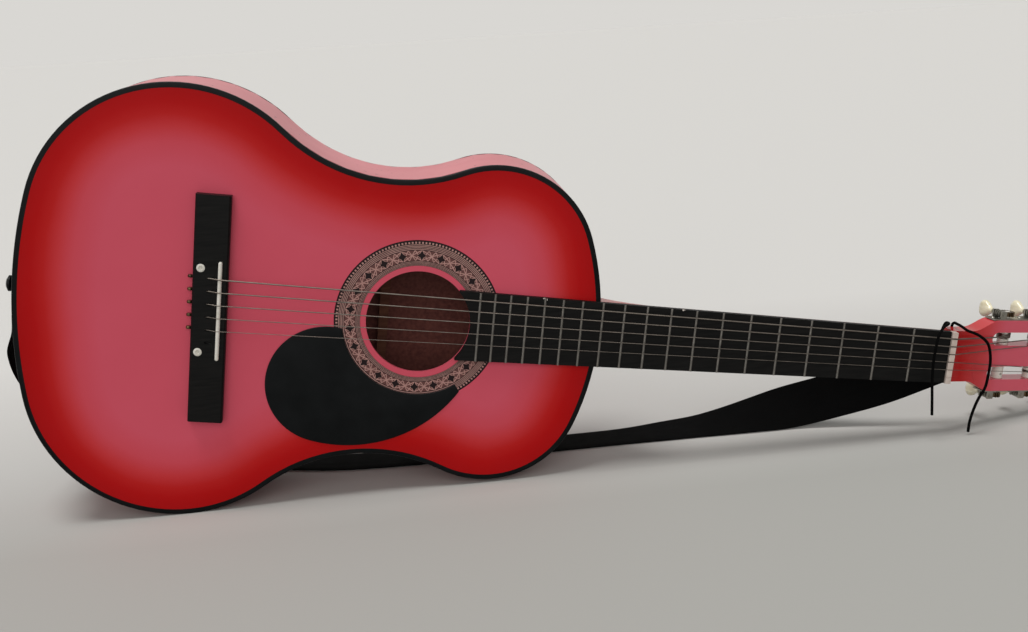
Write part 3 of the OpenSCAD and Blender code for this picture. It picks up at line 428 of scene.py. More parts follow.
def black_plastic(name, low, high):
    """Scuffed black plastic with a polish between low and high."""
    material, tree, main = shader(name, Specular_IOR_Level=0.09)
    scuff = grain(tree, 60.0, 8.0)
    tint = ramp(tree, scuff, (0.3, screen(7, 9, 10)), (0.75, screen(15, 17, 18)))
    tree.links.new(tint, main.inputs["Base Color"])
    roughen(tree, main, low, high, 30.0, 300.0, 0.08)
    return material


BODY_DEPTH, BINDING_ROUND, ROUND_STEPS = 0.085, 0.0012, 5
binding_black = black_plastic("binding_black", 0.22, 0.45)


def binding(name, face, inwards):
    """The strip along one edge: face is the height of its outer side, inwards points into the body."""
    section = [(BINDING, PLATE), (0.0, PLATE)]
    section += [
        (BINDING_ROUND * (1 - math.cos(a)), BINDING_ROUND * (1 - math.sin(a)))
        for a in (math.pi / 2 * i / ROUND_STEPS for i in range(ROUND_STEPS + 1))]
    section += [(BINDING, 0.0)]
    rings = [[at(x, y, face + inwards * depth) for x, y in body_outline(inset)] for inset, depth in section]
    return loft(name, rings, closed=True)


stands_for(binding("binding_top", 0.0, -1), binding_black, "black_plastic", "guitar", "top_binding")
stands_for(binding("binding_back", -BODY_DEPTH, 1), binding_black, "black_plastic", "guitar", "back_binding")


# Ribs and back: thin plywood bent to the outline in two halves, and a flat back plate, all sprayed
# pink and lacquered outside; inside, the bare wood is painted dark, partly its own tone and partly
# painted shade for the dim inside of the body.
BODY_MIDDLE_X, LENGTH_WEIGHT = -0.08, 0.3


def along_way(tree, vector, way):
    """How far a vector reaches along a way."""
    return add(tree, "VectorMath", {"operation": "DOT_PRODUCT"}, _0=vector, _1=way).outputs["Value"]


def faces_inwards(tree, middle):
    """1 where a face looks towards the middle line of the body, 0 on its outside."""
    place = add(tree, "TexCoord").outputs["Object"]
    place = add(tree, "VectorMath", {"operation": "SUBTRACT"}, _0=place, _1=middle).outputs["Vector"]
    normal = add(tree, "NewGeometry").outputs["True Normal"]
    total = None
    for way, weight in ((along, LENGTH_WEIGHT), (across, 1.0), (out, 1.0)):
        reach = along_way(tree, place, way * weight)
        product = calc(tree, "MULTIPLY", reach, along_way(tree, normal, way))
        total = product if total is None else calc(tree, "ADD", total, product)
    return calc(tree, "LESS_THAN", total, 0.0)


def pink_lacquer():
    """Chipped gloss lacquer on the outward faces and dark bare wood with painted shade on the inward ones."""
    material, tree, main = shader("pink_lacquer", Coat_Roughness=0.2)
    tint = ramp(tree, grain(tree, 14.0, 5.0), (0.3, screen(186, 97, 104)), (0.7, screen(199, 114, 120)))
    chips = ramp(tree, grain(tree, 150.0, 2.0), (0.71, (0, 0, 0, 1)), (0.74, (1, 1, 1, 1)))
    outside = mixed(tree, chips, tint, screen(96, 40, 44))
    veins = grain(tree, 30.0, 6.0, (12, 1, 12))
    # The inward faces get a dark wood tone: partly the wood's own colour, partly painted shade for the dim
    # inside of the body.
    inner_wood_and_shade = ramp(tree, veins, (0.3, screen(92, 54, 50)), (0.7, screen(118, 70, 62)))
    bare = faces_inwards(tree, at(BODY_MIDDLE_X, 0, -BODY_DEPTH / 2))
    tree.links.new(mixed(tree, bare, outside, inner_wood_and_shade), main.inputs["Base Color"])
    tree.links.new(spread(tree, bare, 0.06, 0.0), main.inputs["Coat Weight"])
    tree.links.new(spread(tree, bare, 0.22, 0.03), main.inputs["Specular IOR Level"])
    roughen(tree, main, 0.3, 0.44, 16.0, 380.0, 0.06)
    return material


dress(pink_lacquer(), "rib_bass", "rib_treble", "back_plate")


# Inside the body: linings, blocks, bars and the bridge plate, all of unfinished softwood
# and plywood, glued to the plates and ribs. Their wood is painted darker than bare softwood,
# as painted shade for the dim inside of the body.
def raw_wood():
    """Unfinished wood, veined and dull, painted dark as painted shade for the inside of the body."""
    material, tree, main = shader("raw_wood", Specular_IOR_Level=0.08)
    veins = grain(tree, 30.0, 6.0, (1, 1, 12))
    # Dark tones: painted shade for the dim inside of the body, over the wood's veins.
    tint = ramp(tree, veins, (0.3, screen(84, 52, 42)), (0.7, screen(112, 72, 56)))
    tree.links.new(tint, main.inputs["Base Color"])
    roughen(tree, main, 0.6, 0.85, 20.0, 200.0, 0.2)
    return material


dress(
    raw_wood(), "top_lining", "back_lining", "neck_block", "tail_block", "top_braces", "back_braces",
    "bridge_plate")


# Bridge: a bar of wood stained black, glued and bolted to the soundboard, with a white saddle
# in a slot and two white caps pressed over the bolts.
def black_wood(name, low, high, chips=()):
    """Wood stained black; chips are (place, radius) of spots where the black finish has broken off."""
    material, tree, main = shader(name, Specular_IOR_Level=0.08)
    veins = grain(tree, 40.0, 8.0, (1, 14, 14))
    tint = ramp(tree, veins, (0.3, screen(9, 9, 9)), (0.75, screen(22, 21, 20)))
    if chips:
        place = add(tree, "TexCoord").outputs["Object"]
        ragged = spread(tree, grain(tree, 700.0, 2.0), -0.002, 0.002)
    for spot, radius in chips:
        away = add(tree, "VectorMath", {"operation": "DISTANCE"}, _0=place, _1=spot).outputs["Value"]
        bare = calc(tree, "LESS_THAN", calc(tree, "ADD", away, ragged), radius)
        tint = mixed(tree, bare, tint, screen(196, 186, 178))
    tree.links.new(tint, main.inputs["Base Color"])
    roughen(tree, main, low, high, 24.0, 260.0, 0.1)
    return material


def white_plastic(name, low, high):
    """Moulded white plastic, clouded between two tones."""
    material, tree, main = shader(name, Subsurface_Weight=0.08, Specular_IOR_Level=0.3)
    main.inputs["Subsurface Radius"].default_value = (0.001, 0.0008, 0.0006)
    tint = ramp(tree, grain(tree, 90.0, 5.0), (0.25, screen(*low)), (0.7, screen(*high)))
    tree.links.new(tint, main.inputs["Base Color"])
    roughen(tree, main, 0.3, 0.5, 50.0, 500.0, 0.06)
    return material


def plated_steel(name, tone, low, high):
    """Plated metal, duller in patches, with a polish between low and high."""
    material, tree, main = shader(name, Metallic=1.0)
    dull = [int(part * 0.8) for part in tone]
    tint = ramp(tree, grain(tree, 120.0, 6.0), (0.3, screen(*dull)), (0.7, screen(*tone)))
    tree.links.new(tint, main.inputs["Base Color"])
    roughen(tree, main, low, high, 90.0, 700.0, 0.06)
    return material


white = white_plastic("white_plastic", (190, 185, 173), (216, 212, 203))
nickel = plated_steel("nickel", (158, 155, 146), 0.24, 0.42)
dress(black_wood("bridge_black", 0.34, 0.5), "bridge")
dress(nickel, "bridge_bolts")


def lathe(name, profile, base, axis, steps=40):
    """A body turned round an axis: the profile is (radius, height) from one end to the other."""
    side = axis.orthogonal().normalized()
    other = axis.cross(side)
    turns = [FULL_TURN * j / steps for j in range(steps)]
    rings = [
        [base + axis * height + (side * math.cos(a) + other * math.sin(a)) * max(radius, 1e-5) for a in turns]
        for radius, height in profile]
    return loft(name, rings, capped=True)


BOLT_X, BOLT_Y, BRIDGE_HEIGHT = -0.1715, 0.034, 0.0085
CAP_RADIUS, CAP_FOOT, CAP_RISE = 0.0033, -0.0008, 0.0004
cap_profile = [
    (CAP_RADIUS, CAP_FOOT), (CAP_RADIUS, -0.0001), (CAP_RADIUS - 0.0001, 0.0001), (0.8 * CAP_RADIUS, 0.0003),
    (0.62 * CAP_RADIUS, CAP_RISE), (0.5 * CAP_RADIUS, CAP_RISE), (0.43 * CAP_RADIUS, 0.0002),
    (0.4 * CAP_RADIUS, -0.0003), (0.3 * CAP_RADIUS, -0.0005), (0.0, -0.0005)]
for name, side in (("cap_bass", 1), ("cap_treble", -1)):
    cap = lathe(name, cap_profile, at(BOLT_X, side * BOLT_Y, BRIDGE_HEIGHT), out)
    stands_for(cap, white, "white_plastic", "guitar", "bridge_caps")

SADDLE_X, SADDLE_TOP, SADDLE_FOOT = -0.1565, 0.0113, 0.0045
SADDLE_HALF, SADDLE_ROUND, END_STEPS, CROWN_STEPS = 0.040, 0.0015, 10, 6


def saddle_outline(inset):
    """The saddle from above: a bar with round ends, moved inwards by inset."""
    radius, reach = SADDLE_ROUND - inset, SADDLE_HALF - SADDLE_ROUND
    return (
        arc((SADDLE_X, reach), radius, 0, math.pi, END_STEPS) + [(SADDLE_X - radius, reach)]
        + arc((SADDLE_X, -reach), radius, math.pi, FULL_TURN, END_STEPS) + [(SADDLE_X + radius, -reach)])


saddle_steps = [(0.0, SADDLE_FOOT)]
saddle_steps += [
    (0.96 * SADDLE_ROUND * (1 - math.cos(a)), SADDLE_TOP - SADDLE_ROUND * (1 - math.sin(a)))
    for a in (math.pi / 2 * i / CROWN_STEPS for i in range(CROWN_STEPS + 1))]
saddle_rings = [[at(x, y, height) for x, y in saddle_outline(inset)] for inset, height in saddle_steps]
saddle = loft("saddle_bar", saddle_rings, capped=True)
stands_for(saddle, white, "white_plastic", "guitar", "saddle")


# Pickguard: a teardrop of black plastic sheet stuck beside the sound hole, over part of the rosette,
# with a scraped edge.
GUARD_THICK = 0.001
LOBE_MIDDLE, LOBE_RADIUS = (-0.070, -0.0575), 0.049
SWEEP_RADIUS, SWEEP_LEAN = 0.111, math.radians(13)
HOLLOW_RADIUS, TIP_WIDTH = 0.061, 0.007
LOBE_STEPS, SWEEP_STEPS, HOLLOW_STEPS = 48, 30, 36
sweep_reach = SWEEP_RADIUS - LOBE_RADIUS
sweep_middle = (
    LOBE_MIDDLE[0] + sweep_reach * math.sin(SWEEP_LEAN), LOBE_MIDDLE[1] + sweep_reach * math.cos(SWEEP_LEAN))
guard_shoulder = circles_meet(LOBE_MIDDLE, LOBE_RADIUS, (0, 0), HOLLOW_RADIUS, 1)
guard_tip = circles_meet(sweep_middle, SWEEP_RADIUS, (0, 0), HOLLOW_RADIUS + TIP_WIDTH, -1)
lobe_end = 1.5 * math.pi - SWEEP_LEAN
guard_edge = (
    arc(LOBE_MIDDLE, LOBE_RADIUS, heading(LOBE_MIDDLE, guard_shoulder), lobe_end, LOBE_STEPS)
    + arc(sweep_middle, SWEEP_RADIUS, lobe_end, heading(sweep_middle, guard_tip) + FULL_TURN, SWEEP_STEPS)
    + [guard_tip]
    + arc((0, 0), HOLLOW_RADIUS, heading((0, 0), guard_tip) + FULL_TURN,
          heading((0, 0), guard_shoulder) + FULL_TURN, HOLLOW_STEPS))


def inset_loop(points, distance):
    """A counter-clockwise outline moved inwards by a small distance."""
    count, moved = len(points), []
    for i, (x, y) in enumerate(points):
        before, after = points[i - 1], points[(i + 1) % count]
        dx, dy = after[0] - before[0], after[1] - before[1]
        span = math.hypot(dx, dy)
        moved.append((x - distance * dy / span, y + distance * dx / span))
    return moved


guard_steps = [(0.0, 0.0), (0.0, 0.6), (0.00012, 0.82), (0.00035, 0.95), (0.0007, 1.0)]
guard_rings = [
    [at(x, y, share * GUARD_THICK) for x, y in inset_loop(guard_edge, inset)] for inset, share in guard_steps]
pickguard = loft("pickguard_sheet", guard_rings, sharp=50, capped=True)
stands_for(pickguard, black_plastic("guard_black", 0.3, 0.48), "black_plastic", "guitar", "pickguard")


# Neck: a shaft with a slotted headstock, and a heel block glued under it whose tenon goes into the body,
# lacquered deep red and paling to pink on the headstock.
NUT_X, HEAD_FADE = 0.455, 0.2


def neck_lacquer():
    """Gloss lacquer that pales from the nut along the headstock."""
    material, tree, main = shader(
        "neck_lacquer", Coat_Weight=0.15, Coat_Roughness=0.1, Specular_IOR_Level=0.3)
    place = add(tree, "TexCoord").outputs["Object"]
    place = add(tree, "VectorMath", {"operation": "SUBTRACT"}, _0=place, _1=at(NUT_X, 0)).outputs["Vector"]
    reach = along_way(tree, place, along)
    share = add(tree, "MapRange", Value=reach, From_Max=HEAD_FADE).outputs["Result"]
    tint = ramp(tree, share, (0.0, DEEP_RED), (0.1, RED), (0.2, BLUSH), (0.29, PINK))
    cloud = spread(tree, grain(tree, 24.0, 6.0), 0.0, 0.16)
    tree.links.new(mixed(tree, cloud, tint, screen(150, 40, 50)), main.inputs["Base Color"])
    roughen(tree, main, 0.22, 0.36, 18.0, 400.0, 0.06)
    return material


dress(neck_lacquer(), "neck", "heel")


# Fretboard, frets and nut: a black-stained board glued on the neck, nickel wire pressed into it
# at the places of the scale, and a white nut with a groove for each string.
board_chips = [(at(0.1015, 0.0272, 0.0054), 0.0016), (at(0.2175, 0.0268, 0.0054), 0.0014)]
dress(black_wood("board_black", 0.4, 0.6, board_chips), "fretboard")
dress(plated_steel("fret_wire", (126, 122, 117), 0.3, 0.5), "frets")
dress(white_plastic("nut_plastic", (164, 146, 136), (200, 186, 176)), "nut")


# Tuning machines: a stamped plate screwed on each side of the headstock carries three worms, each with
# a cream plastic button; a worm turns the tarnished brass gear on the end of a white plastic roller,
# on which a string winds.
def brass():
    """Tarnished brass, dark in patches."""
    material, tree, main = shader("brass", Metallic=1.0)
    tint = ramp(tree, grain(tree, 200.0, 6.0), (0.3, screen(54, 44, 36)), (0.7, screen(104, 86, 60)))
    tree.links.new(tint, main.inputs["Base Color"])
    roughen(tree, main, 0.35, 0.55, 120.0, 800.0, 0.08)
    return material


def cream_pearl():
    """Cream plastic with a pearly swirl."""
    material, tree, main = shader("cream_pearl", Coat_Weight=0.4, Subsurface_Weight=0.1)
    main.inputs["Subsurface Radius"].default_value = (0.002, 0.0015, 0.001)
    swirl = grain(tree, 110.0, 3.0, (1, 1, 3))
    tint = ramp(tree, swirl, (0.3, screen(206, 196, 164)), (0.7, screen(232, 226, 200)))
    tree.links.new(tint, main.inputs["Base Color"])
    roughen(tree, main, 0.15, 0.3, 60.0, 400.0, 0.05)
    return material


gear_brass, button_cream = brass(), cream_pearl()
dress(nickel, "machine_plate_bass", "machine_plate_treble")
HEAD_X, HEAD_TILT, HEAD_HALF, MACHINE_PLATE = 0.460, math.radians(14), 0.032, 0.0012
WORM_V, ROLLER_W, ROLLER_RADIUS = 0.03693, -0.008, 0.005
PLATE_FACE = HEAD_HALF + MACHINE_PLATE
SCREW_U, SCREW_STEPS = (0.045, 0.0747, 0.1097, 0.1405), 24
BASS_WIRE, TREBLE_WIRE, FITTED = 0.0012, 0.0005, 5
WINDING_V, WINDING_STEP, COIL_TURNS, COIL_STEPS, COIL_SIDES = 0.0155, 0.002, 4, 24, 8
ROLLER_PROFILE = [
    (0.0046, 0.00455), (ROLLER_RADIUS, 0.00495), (ROLLER_RADIUS, 0.03145), (0.0046, 0.03185),
    (0.0025, 0.03185), (0.0025, 0.0386), (0.0022, 0.0389)]
BUTTON_SEAT, BUTTON_LONG, BUTTON_WIDE, BUTTON_THICK = 0.00875, 0.017, 0.015, 0.0075
COLLAR_RADIUS, COLLAR_SHARE, WIDEST_SHARE = 0.0025, 0.1, 0.65
BUTTON_RINGS, BUTTON_SIDES = 22, 36
string_steel = plated_steel("string_steel", (118, 110, 103), 0.28, 0.45)


def on_head(u, v, w):
    """A place u along the headstock from the nut, v towards the bass side and w out of its face."""
    lift = w * math.cos(HEAD_TILT) - u * math.sin(HEAD_TILT)
    return at(HEAD_X + u * math.cos(HEAD_TILT) + w * math.sin(HEAD_TILT), v, lift)


def wire(number):
    """Diameter of a string; the sixth is the heaviest."""
    return BASS_WIRE + (TREBLE_WIRE - BASS_WIRE) * (6 - number) / (FITTED - 1)


def winding_v(number):
    """How far from the middle of the headstock a string winds on its roller."""
    row = 6 - number if number > 3 else number - 1
    return WINDING_V + (1 - row) * WINDING_STEP


def directions(points):
    """The way the route runs at each point."""
    last = len(points) - 1
    return [(points[min(i + 1, last)] - points[max(i - 1, 0)]).normalized() for i in range(last + 1)]


def cord_tube(name, line, radius, sides):
    """A round cord or wire along a line, with its ends closed."""
    ways = directions(line)
    side = ways[0].orthogonal().normalized()
    rings = []
    for point, way in zip(line, ways):
        side = (side - way * side.dot(way)).normalized()
        other = way.cross(side)
        turns = [FULL_TURN * j / sides for j in range(sides)]
        rings.append([point + (side * math.cos(a) + other * math.sin(a)) * radius for a in turns])
    return loft(name, rings, sharp=60, capped=True)


def button_section(share):
    """Half width, half thickness and squareness of a button at a share of its length."""
    rise = min(1.0, max(0.0, (share - COLLAR_SHARE) / (WIDEST_SHARE - COLLAR_SHARE)))
    swell = math.sin(math.pi / 2 * rise) ** 1.3
    fall = max(0.0, (share - WIDEST_SHARE) / (1 - WIDEST_SHARE))
    close = math.sqrt(max(0.0, 1 - fall ** 2.2))
    wide = (COLLAR_RADIUS + (BUTTON_WIDE / 2 - COLLAR_RADIUS) * swell) * (0.12 + 0.88 * close)
    thick = (COLLAR_RADIUS + (BUTTON_THICK / 2 - COLLAR_RADIUS) * swell) * (0.2 + 0.8 * close)
    return wide, thick, 2.0 + 0.8 * swell


collar_shares = [0.0, 0.03, 0.06, COLLAR_SHARE]
bulb_turns = [math.pi / 2 * i / BUTTON_RINGS for i in range(1, BUTTON_RINGS + 1)]
button_shares = collar_shares + [COLLAR_SHARE + (1 - COLLAR_SHARE) * math.sin(a) for a in bulb_turns]
for number in range(1, 7):
    outward = 1 if number > 3 else -1
    roller_joint, worm_joint = joints[f"roller_{number}_turn"], joints[f"worm_{number}_turn"]
    turning, worm_axis = across * outward, Vector(worm_joint["axis"])
    roller_foot = Vector(roller_joint["pos_m"]) - turning * WORM_V
    dress(gear_brass, f"gear_{number}", sharp=20)
    dress(nickel, f"worm_{number}")
    if number == 1:
        dress(white, "roller_1")
    else:
        core = lathe(f"roller_core_{number}", ROLLER_PROFILE, roller_foot, turning)
        stands_for(core, white, "white_plastic", f"tuner_roller_{number}", f"roller_{number}")
        thick = wire(number)
        face_side = worm_axis.cross(turning)
        coil = []
        for i in range(COIL_TURNS * COIL_STEPS + 1):
            turn = FULL_TURN * i / COIL_STEPS
            spot = roller_foot + turning * (winding_v(number) + thick * (i / COIL_STEPS - COIL_TURNS / 2))
            radius = ROLLER_RADIUS + thick / 2
            coil.append(spot + (worm_axis * math.cos(turn) + face_side * math.sin(turn)) * radius)
        wound = cord_tube(f"winding_{number}", coil, thick / 2, COIL_SIDES)
        stands_for(wound, string_steel, "string_steel", f"tuner_roller_{number}")
    seat = Vector(worm_joint["pos_m"]) - worm_axis * BUTTON_SEAT
    thin_way = across.cross(worm_axis)
    rings = []
    for share in button_shares:
        wide, thick, square = button_section(share)
        middle = seat - worm_axis * share * BUTTON_LONG
        ring = []
        for j in range(BUTTON_SIDES):
            a = FULL_TURN * j / BUTTON_SIDES
            c, s = math.cos(a), math.sin(a)
            reach = (abs(c) ** square + abs(s) ** square) ** (-1 / square)
            ring.append(middle + (across * c * wide + thin_way * s * thick) * reach)
        rings.append(ring)
    button = loft(f"button_bulb_{number}", rings, sharp=60, capped=True)
    stands_for(button, button_cream, "cream_plastic", f"tuner_worm_{number}", f"button_{number}")

SCREW_HEAD = [(0.0021, 0.0), (0.0021, 0.0003), (0.0018, 0.0007), (0.0012, 0.00095), (0.0, 0.00105)]
for side, label in ((1, "bass"), (-1, "treble")):
    for count, u in enumerate(SCREW_U):
        foot = on_head(u, side * PLATE_FACE, ROLLER_W)
        screw = lathe(f"plate_screw_{label}_{count}", SCREW_HEAD, foot, across * side, SCREW_STEPS)
        stands_for(screw, nickel, "nickel", "guitar")


# Strings: five steel wires, the heavier ones wound, each held by a ball behind the bridge,
# bent over the saddle and the nut and taken to its roller.
BALL_X, BALL_Z, BRIDGE_EXIT_X = -0.1797, 0.0027, -0.164
NUT_FLOOR, STRING_SEAT, STRING_SIDES, BALL_STEPS = 0.0066, 0.0001, 12, 24
BRIDGE_SPACING, NUT_SPACING, WINDING_GAP, STRING_BEND = 0.0104, 0.0069, 0.00015, 0.0012
ROLLER_U = {6: 0.060, 5: 0.095, 4: 0.130, 3: 0.130, 2: 0.095}
ball_profile = [
    (0.0009, -0.001), (0.0017, -0.0011), (0.0021, -0.0006),
    (0.0021, 0.0006), (0.0017, 0.0011), (0.0009, 0.001)]


def eased(points, reach):
    """A line through the points, with a short bend at each of them in place of a corner."""
    made = [points[0]]
    for a, b, c in zip(points, points[1:], points[2:]):
        near, far = b + (a - b).normalized() * reach, b + (c - b).normalized() * reach
        made += [near, b * 0.75 + (near + far) * 0.125, far]
    return made + [points[-1]]


for number in range(6, 1, -1):
    radius, place = wire(number) / 2, number - 3.5
    y_bridge, y_nut = place * BRIDGE_SPACING, place * NUT_SPACING
    outward = 1 if number > 3 else -1
    line = eased([
        at(BALL_X, y_bridge, BALL_Z), at(BRIDGE_EXIT_X, y_bridge, BRIDGE_HEIGHT),
        at(SADDLE_X, y_bridge, SADDLE_TOP - STRING_SEAT + radius),
        at(HEAD_X, y_nut, NUT_FLOOR - STRING_SEAT + radius),
        on_head(ROLLER_U[number], outward * winding_v(number),
                ROLLER_W + ROLLER_RADIUS + 2 * radius + WINDING_GAP + radius)], STRING_BEND)
    string = cord_tube(f"string_{number}", line, radius, STRING_SIDES)
    stands_for(string, string_steel, "string_steel", "guitar", "strings")
    ball = lathe(f"ball_{number}", ball_profile, at(BALL_X, y_bridge, BALL_Z), across, BALL_STEPS)
    stands_for(ball, gear_brass, "brass", "guitar", "strings")


# Strap: black woven webbing, sewn to a leather tab that is buttoned over the end pin. It falls behind
# the body, lies on the floor under the waist and the upper bout, and rises to the neck.
dress(binding_black, "end_pin")


def smooth_route(points, spans):
    """A curve through the points, with that many steps between two of them."""
    points = [Vector(p) for p in points]
    padded = [2 * points[0] - points[1]] + points + [2 * points[-1] - points[-2]]
    made = []
    for a, b, c, d in zip(padded, padded[1:], padded[2:], padded[3:]):
        for i in range(spans):
            t = i / spans
            bend, twist = 2 * a - 5 * b + 4 * c - d, 3 * b - a - 3 * c + d
            made.append(0.5 * (2 * b + (c - a) * t + bend * t ** 2 + twist * t ** 3))
    return made + [points[-1]]


STRAP_WIDTH, STRAP_THICK = 0.040, 0.002
strap_route = [
    (-0.472, 0.006, 0.173), (-0.474, 0.006, 0.160), (-0.480, 0.009, 0.145), (-0.481, 0.016, 0.129),
    (-0.478, 0.034, 0.112), (-0.470, 0.062, 0.096), (-0.452, 0.082, 0.078), (-0.424, 0.092, 0.058),
    (-0.390, 0.094, 0.036), (-0.352, 0.089, 0.017), (-0.312, 0.077, 0.006), (-0.270, 0.060, 0.0022),
    (-0.230, 0.048, 0.0013), (-0.190, 0.043, 0.0013), (-0.150, 0.041, 0.0013), (-0.100, 0.040, 0.0013),
    (-0.040, 0.040, 0.0013), (0.020, 0.040, 0.0014), (0.060, 0.039, 0.0031), (0.092, 0.038, 0.0048),
    (0.120, 0.036, 0.0082), (0.145, 0.033, 0.0125), (0.180, 0.026, 0.0196), (0.215, 0.015, 0.0295),
    (0.250, 0.002, 0.041), (0.280, -0.008, 0.053), (0.300, -0.012, 0.060)]
strap_spread = [
    (0, 1, 0), (0, 1, 0), (0, 1, 0), (0, 1, 0.05), (0.1, 0.97, 0.2), (0.15, 0.95, 0.28),
    (0.2, 0.92, 0.34), (0.2, 0.9, 0.38), (0.15, 0.92, 0.34), (0.1, 0.96, 0.24), (0.1, 1, 0.1), (0, 1, 0.03),
    (0, 1, 0), (0, 1, 0), (0, 1, 0), (0, 1, 0), (0, 1, 0), (0, 1, 0.01),
    (0, 0.99, 0.09), (0, 0.98, 0.17), (0, 0.94, 0.34), (0, 0.83, 0.55), (0, 0.5, 0.87), (0, 0.3, 0.95),
    (0, 0.14, 0.99), (0, 0.04, 1), (0, 0, 1)]
STRAP_STEPS, STRAP_SPANS, EDGE_THINNING, EDGE_POWER = 10, 12, 0.55, 12
strap_line = smooth_route(strap_route, STRAP_STEPS)
strap_sides = smooth_route(strap_spread, STRAP_STEPS)
strap_rings = []
for point, side, way in zip(strap_line, strap_sides, directions(strap_line)):
    side = (side - way * side.dot(way)).normalized()
    face = way.cross(side)
    ring = []
    for top in (1, -1):
        for i in range(STRAP_SPANS + 1):
            share = top * (1 - 2 * i / STRAP_SPANS)
            edge = 1 - EDGE_THINNING * abs(share) ** EDGE_POWER
            ring.append(point + side * share * STRAP_WIDTH / 2 + face * top * edge * STRAP_THICK / 2)
    strap_rings.append(ring)
strap = loft("strap_webbing", strap_rings, sharp=60, capped=True)


def lay_along(made, line, spans):
    """Marks the points of a lofted piece with their run along its line and their place across it."""
    run, reached = [], 0.0
    for i, point in enumerate(line):
        reached += (point - line[i - 1]).length if i else 0.0
        run += [reached] * len(spans)
    for name, values in (("run", run), ("span", list(spans) * len(line))):
        made.data.attributes.new(name, "FLOAT", "POINT").data.foreach_set("value", values)


WEAVE_COLUMN, WEAVE_THREAD = 0.005, 0.0009


def webbing():
    """Thread woven in chevrons, by its run along the piece and its place across it; the grooves between
    threads are painted darker, as painted shade.
    """
    material, tree, main = shader("webbing", Specular_IOR_Level=0.03)
    run = add(tree, "Attribute", {"attribute_name": "run"}).outputs["Fac"]
    span = add(tree, "Attribute", {"attribute_name": "span"}).outputs["Fac"]
    slant = calc(tree, "ADD", run, calc(tree, "PINGPONG", span, WEAVE_COLUMN))
    thread = calc(tree, "PINGPONG", slant, WEAVE_THREAD)
    thread = add(tree, "MapRange", Value=thread, From_Max=WEAVE_THREAD).outputs["Result"]
    fuzz = spread(tree, grain(tree, 900.0, 3.0), 0.2, 1.0)
    height = calc(tree, "MULTIPLY", thread, fuzz)
    # The low parts of the weave, between the threads, are painted darker: painted shade in the grooves, with
    # random fuzz.
    tint = ramp(tree, height, (0.05, screen(2, 2, 2)), (0.8, screen(15, 15, 15)))
    tree.links.new(tint, main.inputs["Base Color"])
    tree.links.new(spread(tree, grain(tree, 60.0), 0.75, 0.95), main.inputs["Roughness"])
    relief = add(tree, "Bump", Strength=0.6, Distance=0.0004, Height=height)
    tree.links.new(relief.outputs["Normal"], main.inputs["Normal"])
    return material


half_way = [(1 - 2 * i / STRAP_SPANS) * STRAP_WIDTH / 2 for i in range(STRAP_SPANS + 1)]
lay_along(strap, strap_line, half_way + [-place for place in half_way])
strap_black = webbing()
stands_for(strap, strap_black, "webbing", "guitar", "strap")


def tab_leather():
    """Black leather with open pores."""
    material, tree, main = shader("tab_leather", Specular_IOR_Level=0.2)
    pores = grain(tree, 300.0, 8.0)
    tint = ramp(tree, pores, (0.3, screen(20, 17, 16)), (0.7, screen(44, 38, 35)))
    tree.links.new(tint, main.inputs["Base Color"])
    roughen(tree, main, 0.5, 0.75, 40.0, 500.0, 0.4, 0.0003)
    return material


dress(tab_leather(), "strap_tab")
TAB_FACE, TAB_HALF = -0.318, 0.019
STITCH, STITCH_GAP, STITCH_INSET, STITCH_START, STITCH_COUNT = 0.0028, 0.0012, 0.003, 0.004, 7
STITCH_SUNK, STITCH_PROUD, THREAD_RADIUS, THREAD_SIDES = 0.0003, 0.0002, 0.00035, 8
stitch_thread = black_plastic("stitch_thread", 0.6, 0.8)
stitch_rows = [
    (side * (TAB_HALF - STITCH_INSET), -STITCH_START - i * (STITCH + STITCH_GAP))
    for side in (1, -1) for i in range(STITCH_COUNT)]
for count, (z, y) in enumerate(stitch_rows):
    ends = [at(TAB_FACE + STITCH_SUNK, y - share * STITCH, z - BODY_DEPTH / 2) for share in (0.0, 1.0)]
    proud = [at(TAB_FACE - STITCH_PROUD, y - share * STITCH, z - BODY_DEPTH / 2) for share in (0.2, 0.8)]
    stitch = cord_tube(f"tab_stitch_{count}", [ends[0], *proud, ends[1]], THREAD_RADIUS, THREAD_SIDES)
    stands_for(stitch, stitch_thread, "tab_leather", "guitar")


# Lace: a round black braided cord through the end of the strap. Both its runs go over the neck beside
# the nut and hang down in front.
LACE_DIAMETER, LACE_SIDES, LACE_STEPS = 0.0025, 14, 8
lace_eye = (0.302, -0.006, 0.056)
lace_to_board = [
    lace_eye, (0.297, -0.007, 0.0565), (0.294, -0.010, 0.062), (0.296, -0.012, 0.070), (0.300, -0.012, 0.081),
    (0.302, -0.015, 0.091), (0.302, -0.021, 0.097), (0.301, -0.029, 0.099), (0.298, -0.036, 0.100),
    (0.292, -0.042, 0.100), (0.287, -0.047, 0.098), (0.283, -0.050, 0.093), (0.280, -0.052, 0.084),
    (0.278, -0.052, 0.072), (0.277, -0.052, 0.056), (0.277, -0.052, 0.040), (0.277, -0.052, 0.025)]
lace_to_head = [
    lace_eye, (0.306, -0.007, 0.062), (0.309, -0.008, 0.072), (0.310, -0.011, 0.083), (0.310, -0.016, 0.093),
    (0.309, -0.023, 0.097), (0.308, -0.030, 0.098), (0.309, -0.038, 0.0975), (0.311, -0.045, 0.0955),
    (0.315, -0.050, 0.094), (0.320, -0.052, 0.091), (0.326, -0.052, 0.085), (0.329, -0.051, 0.077),
    (0.330, -0.050, 0.066), (0.329, -0.048, 0.053), (0.327, -0.047, 0.043), (0.322, -0.046, 0.034),
    (0.318, -0.045, 0.024), (0.315, -0.044, 0.013), (0.314, -0.043, 0.003)]
